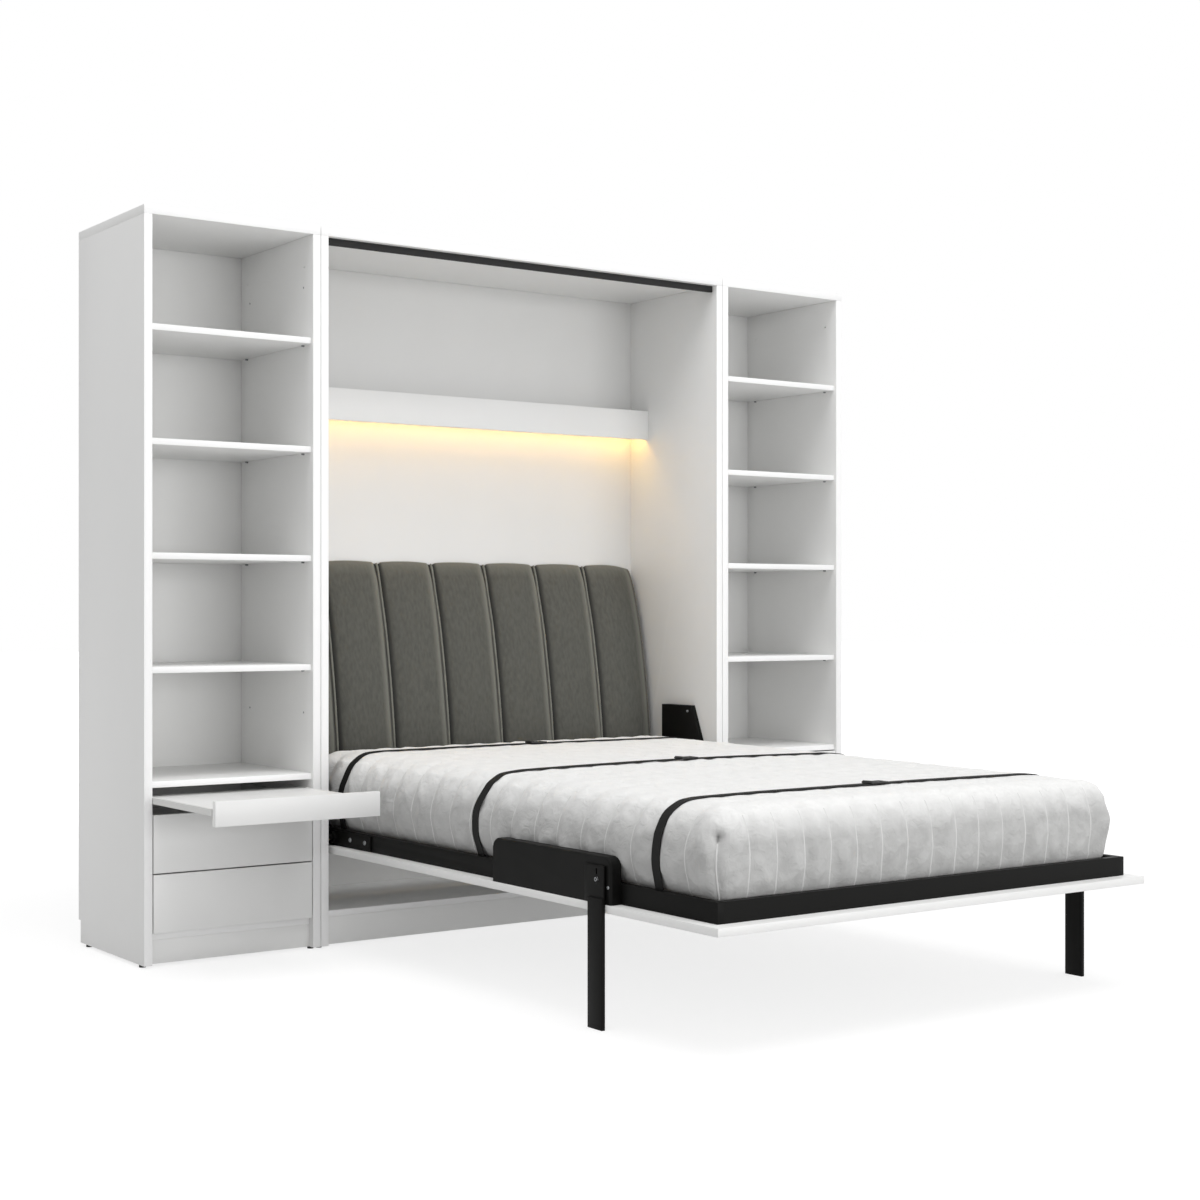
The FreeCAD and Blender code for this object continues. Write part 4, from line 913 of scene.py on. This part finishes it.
# Two long sides, three cross bars and the thumb tab, in mm and degrees: centre, size, round and lean
BUCKLE_BARS = (((0, -16.5, 2.6), (60, 5, 4.4), 1.6, 0), ((0, 16.5, 2.6), (60, 5, 4.4), 1.6, 0),
               ((-27, 0, 2.8), (9, 37, 5.2), 1.6, 0), ((0, 0, 2.8), (8, 37, 4.4), 1.6, 0),
               ((26, 0, 2.8), (7, 37, 4.2), 1.6, 0), ((-19, 0, 5.2), (22, 33, 3.6), 1.4, 4))
buckle_low, buckle_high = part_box("strap_buckles")
buckle_x = (buckle_low.x + buckle_high.x) / 2
work = bmesh.new()
for y, path in zip(strap_places, strap_lines):
    under = min(path, key=lambda p: abs(p.x - buckle_x)).y + STRAP_THICKNESS
    for centre, size, round_off, lean in BUCKLE_BARS:
        bar(work, Vector((buckle_x, y, under)) + Vector(centre) * MM, Vector(size) * MM, round_off * MM,
            math.radians(lean))
buckles = mesh_object("ladder_lock_buckles", [], [])
meshed(work, buckles, sharp_degrees=35, finish=finishes["buckle_plastic"])
declare(buckles, "buckle_plastic", "bed", "strap_buckles")
print("buckles:", [round(d, 3) for d in buckles.dimensions])

# %% [markdown]
# ## Headboard
# The headboard is a wedge of foam in velvet, thick at the mattress and thin at its top, sewn into seven upright
# channels with a piping cord in each seam. One upright section of the wedge is swept along X and drawn in at every
# seam. The same cloth step then swells the channels while the seams and the back stay pinned.

# %% The upright section of the wedge
low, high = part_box("headboard_cushion")
CHANNELS, CHANNEL_DOME, DOME_POWER = 7, 16 * MM, 2.2
GROOVE_DEPTH, GROOVE_FLOOR, GROOVE_EDGE = 11 * MM, 9 * MM, 17 * MM
STUFFING, TOE, TOE_STEPS, PLUMP = 3 * MM, 18 * MM, 5, 8 * MM
FRONT_STEP, CURVE_STEPS = 14 * MM, 12
TOP_WEIGHT, FULL_WEIGHT_DEPTH = 0.35, 60 * MM
BACK_SHARES = (0.9, 0.75, 0.5, 0.25)
# Share of the height and share of the depth, from the top down to the foot
FRONT_SHARES = ((1.0, 0.0), (0.985, 0.12), (0.95, 0.22), (0.88, 0.35), (0.78, 0.48), (0.65, 0.62), (0.42, 0.8),
                (0.2, 0.93))


def rounded_line(spots, steps):
    ends = [spots[0] * 2 - spots[1]] + spots + [spots[-1] * 2 - spots[-2]]
    line = []
    for a, b, c, d in zip(ends, ends[1:], ends[2:], ends[3:]):
        for t in (step / steps for step in range(steps)):
            line.append((b * 2 + (c - a) * t + (a * 2 - b * 5 + c * 4 - d) * t ** 2
                         + (b * 3 - a - c * 3 + d) * t ** 3) / 2)
    return line + [spots[-1]]


def wedge_section():
    spots = [Vector((high.y - (high.y + PLUMP - low.y) * depth, low.z + (high.z + PLUMP - low.z) * rise))
             for rise, depth in FRONT_SHARES] + [Vector((low.y - PLUMP, low.z + TOE))]
    front = spaced(rounded_line(spots, CURVE_STEPS), FRONT_STEP)[::-1]
    points = [(Vector((high.y, low.z)), 0), (Vector((low.y + 3 * TOE, low.z)), 0)]
    for step in range(1, TOE_STEPS):
        turn = math.radians(90 * step / TOE_STEPS)
        spot = Vector((low.y - PLUMP + TOE * (1 - math.sin(turn)), low.z + TOE * (1 - math.cos(turn))))
        points.append((spot, step / TOE_STEPS))
    grown = 1 - TOP_WEIGHT
    points += [(spot, min(TOP_WEIGHT + grown * (high.y - spot.x) / FULL_WEIGHT_DEPTH, 1)) for spot in front]
    points += [(Vector((high.y, low.z + (high.z - low.z) * share)), 0) for share in BACK_SHARES]
    return points


section = wedge_section()
print("section points:", len(section))

# %% Sweep the section along the headboard
normals = []
for n in range(len(section)):
    ahead = section[(n + 1) % len(section)][0] - section[n - 1][0]
    normals.append(Vector((-ahead.y, ahead.x)).normalized())
# The points crowd at the seams, where the cloth turns in with a round of its own
HALF_SHARES = (0.02, 0.038, 0.056, 0.07, 0.086, 0.12, 0.2, 0.34)
CHANNEL_SHARES = (0, *HALF_SHARES, 0.5, *[1 - share for share in reversed(HALF_SHARES)])
channel_width = (high.x - low.x) / CHANNELS
stations = [(low.x + channel_width * (channel + share), share)
            for channel in range(CHANNELS) for share in CHANNEL_SHARES] + [(high.x, 0)]
AT_BACK, PINNED_WEIGHT, CREST = 1 * MM, 0.3, 45 * MM
HIGHLIGHT_AT, HIGHLIGHT_WIDTH, CREST_HIGHLIGHT = 0.93, 0.12, 0.5
PILE_SLACK, PILE_SWING, PILE_RATE = 0.5, 0.4, 9
points, faces, painted_highlights, folds, sewn, slack = [], [], [], [], set(), {}
for x, share in stations:
    to_seam = min(share, 1 - share) * channel_width
    wall = min(max((to_seam - GROOVE_FLOOR) / (GROOVE_EDGE - GROOVE_FLOOR), 0), 1)
    # The two ends have no seam, and there the round of the channel goes over the top as well
    at_end = min(x - low.x, high.x - x) < channel_width / 2
    no_seam = at_end and to_seam > min(x - low.x, high.x - x) - AT_BACK
    deep = 0 if no_seam else 1 - wall * wall * (3 - 2 * wall)
    inset = STUFFING + CHANNEL_DOME * abs(2 * share - 1) ** DOME_POWER + GROOVE_DEPTH * deep
    for (spot, weight), normal in zip(section, normals):
        weight = 1 if at_end and weight > 0 else weight
        out = Vector((0, 1)) if spot.x > high.y - AT_BACK else normal
        place = spot - out * inset * weight
        if share == 0 or weight < PINNED_WEIGHT or spot.x > high.y - AT_BACK:
            sewn.add(len(points))
        slack[len(points)] = PILE_SLACK + PILE_SWING * noise.noise(Vector((x, place.x, place.y)) * PILE_RATE)
        # Paler towards each channel's right edge and its top, a painted highlight, and dark deep in each seam,
        # painted shade
        crest = max((place.y - high.z) / CREST + 1, 0)
        painted_highlights.append(wall * max(1 - abs(share - HIGHLIGHT_AT) / HIGHLIGHT_WIDTH, CREST_HIGHLIGHT * crest, 0))
        folds.append(deep)
        points.append((x, place.x, place.y))
count = len(section)
print("headboard grid:", len(stations), "by", count, "points")

# %% Join the sections and stuff them
VELVET_STRETCH, VELVET_CAP = 0.012, 3 * MM
for number in range(len(stations) - 1):
    a, b = number * count, (number + 1) * count
    faces += [(a + n, b + n, b + (n + 1) % count, a + (n + 1) % count) for n in range(count)]
faces += [tuple(range(count)), tuple(range((len(stations) - 1) * count, len(stations) * count))[::-1]]
headboard_cage = mesh_object("headboard_cage", points, faces)
for name, values in (("nap", painted_highlights), ("fold", folds)):
    headboard_cage.data.attributes.new(name, "FLOAT", "POINT").data.foreach_set("value", values)
work = bmesh.new()
work.from_mesh(headboard_cage.data)
bmesh.ops.recalc_face_normals(work, faces=work.faces)
work.to_mesh(headboard_cage.data)
work.free()
stuffed(headboard_cage, sewn, slack, VELVET_STRETCH, lambda place: VELVET_CAP)
CHANNEL_STEPS = len(CHANNEL_SHARES)
seam_rows = {n * count + m for n in range(0, len(stations), CHANNEL_STEPS) for m in range(count)}
headboard = smoothed(headboard_cage, "headboard_cover", seam_rows, velvet)
declare(headboard, "velvet", "cabinet", "headboard_cushion")
print("headboard:", [round(d, 3) for d in headboard.dimensions], len(headboard.data.polygons), "faces")

# %% Piping cords in the seams
# The piping is the same velvet wrapped round a cord, painted paler: a painted highlight on the round cord
highlighted_velvet = repainted(velvet, "grey velvet on piping", "#72726B", "#83837B")
SEAM_CORD_RADIUS, SEAM_CORD_SIDES, SEAM_CORD_LIFT_MM, PIPED_WEIGHT = 3.8 * MM, 10, 3, 0.15
surface = headboard.data.vertices
front_rows = [m for m, (spot, weight) in enumerate(section) if weight > PIPED_WEIGHT]
seam_lines = []
for seam in range(1, CHANNELS):
    rows = [(surface[seam * CHANNEL_STEPS * count + m].co.copy(), normals[m]) for m in front_rows]
    seam_lines.append([place + Vector((0, out.x, out.y)) * SEAM_CORD_LIFT_MM * MM for place, out in rows])
headboard_piping = cords("headboard_piping", seam_lines, SEAM_CORD_RADIUS, SEAM_CORD_SIDES, highlighted_velvet)
declare(headboard_piping, "velvet", "cabinet")
print("piped seams:", len(seam_lines))

# %% [markdown]
# ## Bolts and screws
# Zinc-plated button heads hold the hinge brackets, the legs and the covers. They repeat, so a Geometry Nodes tree
# puts one head on each point, turned to face the way that the point says. The head is a low cone with a smaller
# step on it and a sunk socket.

# %% A Geometry Nodes tree of button heads
bolt_tree, bolt_keys, given = new_tree("button heads on points", "Heads", Points="Geometry", Radius="Float",
                                       Height="Float", Finish="Material")
RIM_SHARE, LOWER_SHARE, UPPER_SHARE, SUNK_SHARE = 0.93, 0.55, 0.45, -0.6
STEP_SHARE, SOCKET_SHARE, HEAD_SIDES = 0.7, 0.6, 24


def part_of(socket, share):
    return add(bolt_tree, "ShaderNodeMath", {0: given[socket], 1: share}, operation="MULTIPLY").outputs[0]


def raised(solid, top, height):
    return add(bolt_tree, "GeometryNodeExtrudeMesh",
               {"Mesh": solid, "Selection": top, "Offset Scale": height, "Individual": False})


def narrowed(solid, top, share):
    return add(bolt_tree, "GeometryNodeScaleElements",
               {"Geometry": solid, "Selection": top, "Scale": share}).outputs[0]


cone = add(bolt_tree, "GeometryNodeMeshCone",
           {"Vertices": HEAD_SIDES, "Radius Top": part_of("Radius", RIM_SHARE),
            "Radius Bottom": given["Radius"], "Depth": part_of("Height", LOWER_SHARE)})
dome = raised(cone.outputs[0], cone.outputs["Top"], part_of("Height", UPPER_SHARE))
lip = raised(narrowed(dome.outputs[0], dome.outputs["Top"], STEP_SHARE), dome.outputs["Top"], 0.0)
pit = raised(narrowed(lip.outputs[0], lip.outputs["Top"], SOCKET_SHARE), lip.outputs["Top"],
             part_of("Height", SUNK_SHARE))
facing = add(bolt_tree, "GeometryNodeInputNamedAttribute", {"Name": "facing"}, data_type="FLOAT_VECTOR")
turned = add(bolt_tree, "FunctionNodeAlignRotationToVector", {"Vector": facing.outputs[0]}, axis="Z")
heads = add(bolt_tree, "GeometryNodeInstanceOnPoints",
            {"Points": given["Points"], "Instance": pit.outputs[0], "Rotation": turned.outputs[0]})
real = add(bolt_tree, "GeometryNodeRealizeInstances", {"Geometry": heads.outputs[0]})
plated = add(bolt_tree, "GeometryNodeSetMaterial", {"Geometry": real.outputs[0], "Material": given["Finish"]})
add(bolt_tree, "NodeGroupOutput", {"Heads": plated.outputs[0]})
print("bolt tree has", len(bolt_tree.nodes), "nodes")

# %% Put the bolts and screws in place
def button_heads(name, spots, radius, height, body, *nodes):
    mesh = bpy.data.meshes.new(name)
    mesh.from_pydata([tuple(place) for place, way in spots], [], [])
    ways = mesh.attributes.new("facing", "FLOAT_VECTOR", "POINT")
    for number, (place, way) in enumerate(spots):
        ways.data[number].vector = way
    made = through_tree(mesh, name, bolt_tree, bolt_keys, Radius=radius, Height=height,
                        Finish=finishes["bolt_steel"])
    return declare(made, "bolt_steel", body, *nodes)


BOLT_RADIUS, BOLT_HEIGHT = 7 * MM, 4 * MM
bolt_low, bolt_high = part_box("bracket_bolts")
plate_x = bolt_high.x - BOLT_HEIGHT
bolt_z = (bolt_low.z + bolt_high.z) / 2
bracket_spots = [((side * plate_x, y, bolt_z), (side, 0, 0))
                 for side in (-1, 1) for y in (bolt_low.y + BOLT_RADIUS, bolt_high.y - BOLT_RADIUS)]
button_heads("bracket_button_heads", bracket_spots, BOLT_RADIUS, BOLT_HEIGHT, "bed", "bracket_bolts")

# The leg bolts turn with the legs, on the axis of each leg's joint
LEG_PLATE, LEG_BOLT_RADIUS, LEG_BOLT_HEIGHT = 5 * MM, 7.4 * MM, 3.2 * MM
RIVET_RADIUS, RIVET_HEIGHT, RIVET_FORWARD, RIVET_BELOW = 4.4 * MM, 1.8 * MM, 36 * MM, 17 * MM
housing_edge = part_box("leg_housings")[1].x
rivet_spots = []
for joint in frame["record"]["behaviour"]["joints"]:
    if joint["name"].endswith("leg_fold"):
        x, y, z = joint["pos_m"]
        side = math.copysign(1, x)
        button_heads(joint["child"] + "_bolt_head", [((x + side * LEG_PLATE, y, z), (side, 0, 0))],
                     LEG_BOLT_RADIUS, LEG_BOLT_HEIGHT, joint["child"])
        rivet_spots.append(((side * housing_edge, y - RIVET_FORWARD, z - RIVET_BELOW), (side, 0, 0)))

# A rivet on each leg housing stops the leg, and one screw holds each hinge cover near its top
button_heads("housing_rivets", rivet_spots, RIVET_RADIUS, RIVET_HEIGHT, "bed")
SCREW_RADIUS, SCREW_HEIGHT = 4.6 * MM, 2.4 * MM
SCREW_INSET, SCREW_BEHIND, SCREW_BELOW = 22.5 * MM, 99 * MM, 20 * MM
COVER_FACES = (-0.939, -0.32, 0.124)
cover_low, cover_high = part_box("hinge_covers")
screw_spots = [((side * (cover_high.x - SCREW_INSET), cover_low.y + SCREW_BEHIND, cover_high.z - SCREW_BELOW),
                (side * COVER_FACES[0], *COVER_FACES[1:])) for side in (-1, 1)]
button_heads("hinge_cover_screws", screw_spots, SCREW_RADIUS, SCREW_HEIGHT, "cabinet")
print("rivets:", len(rivet_spots), "and cover screws:", len(screw_spots))
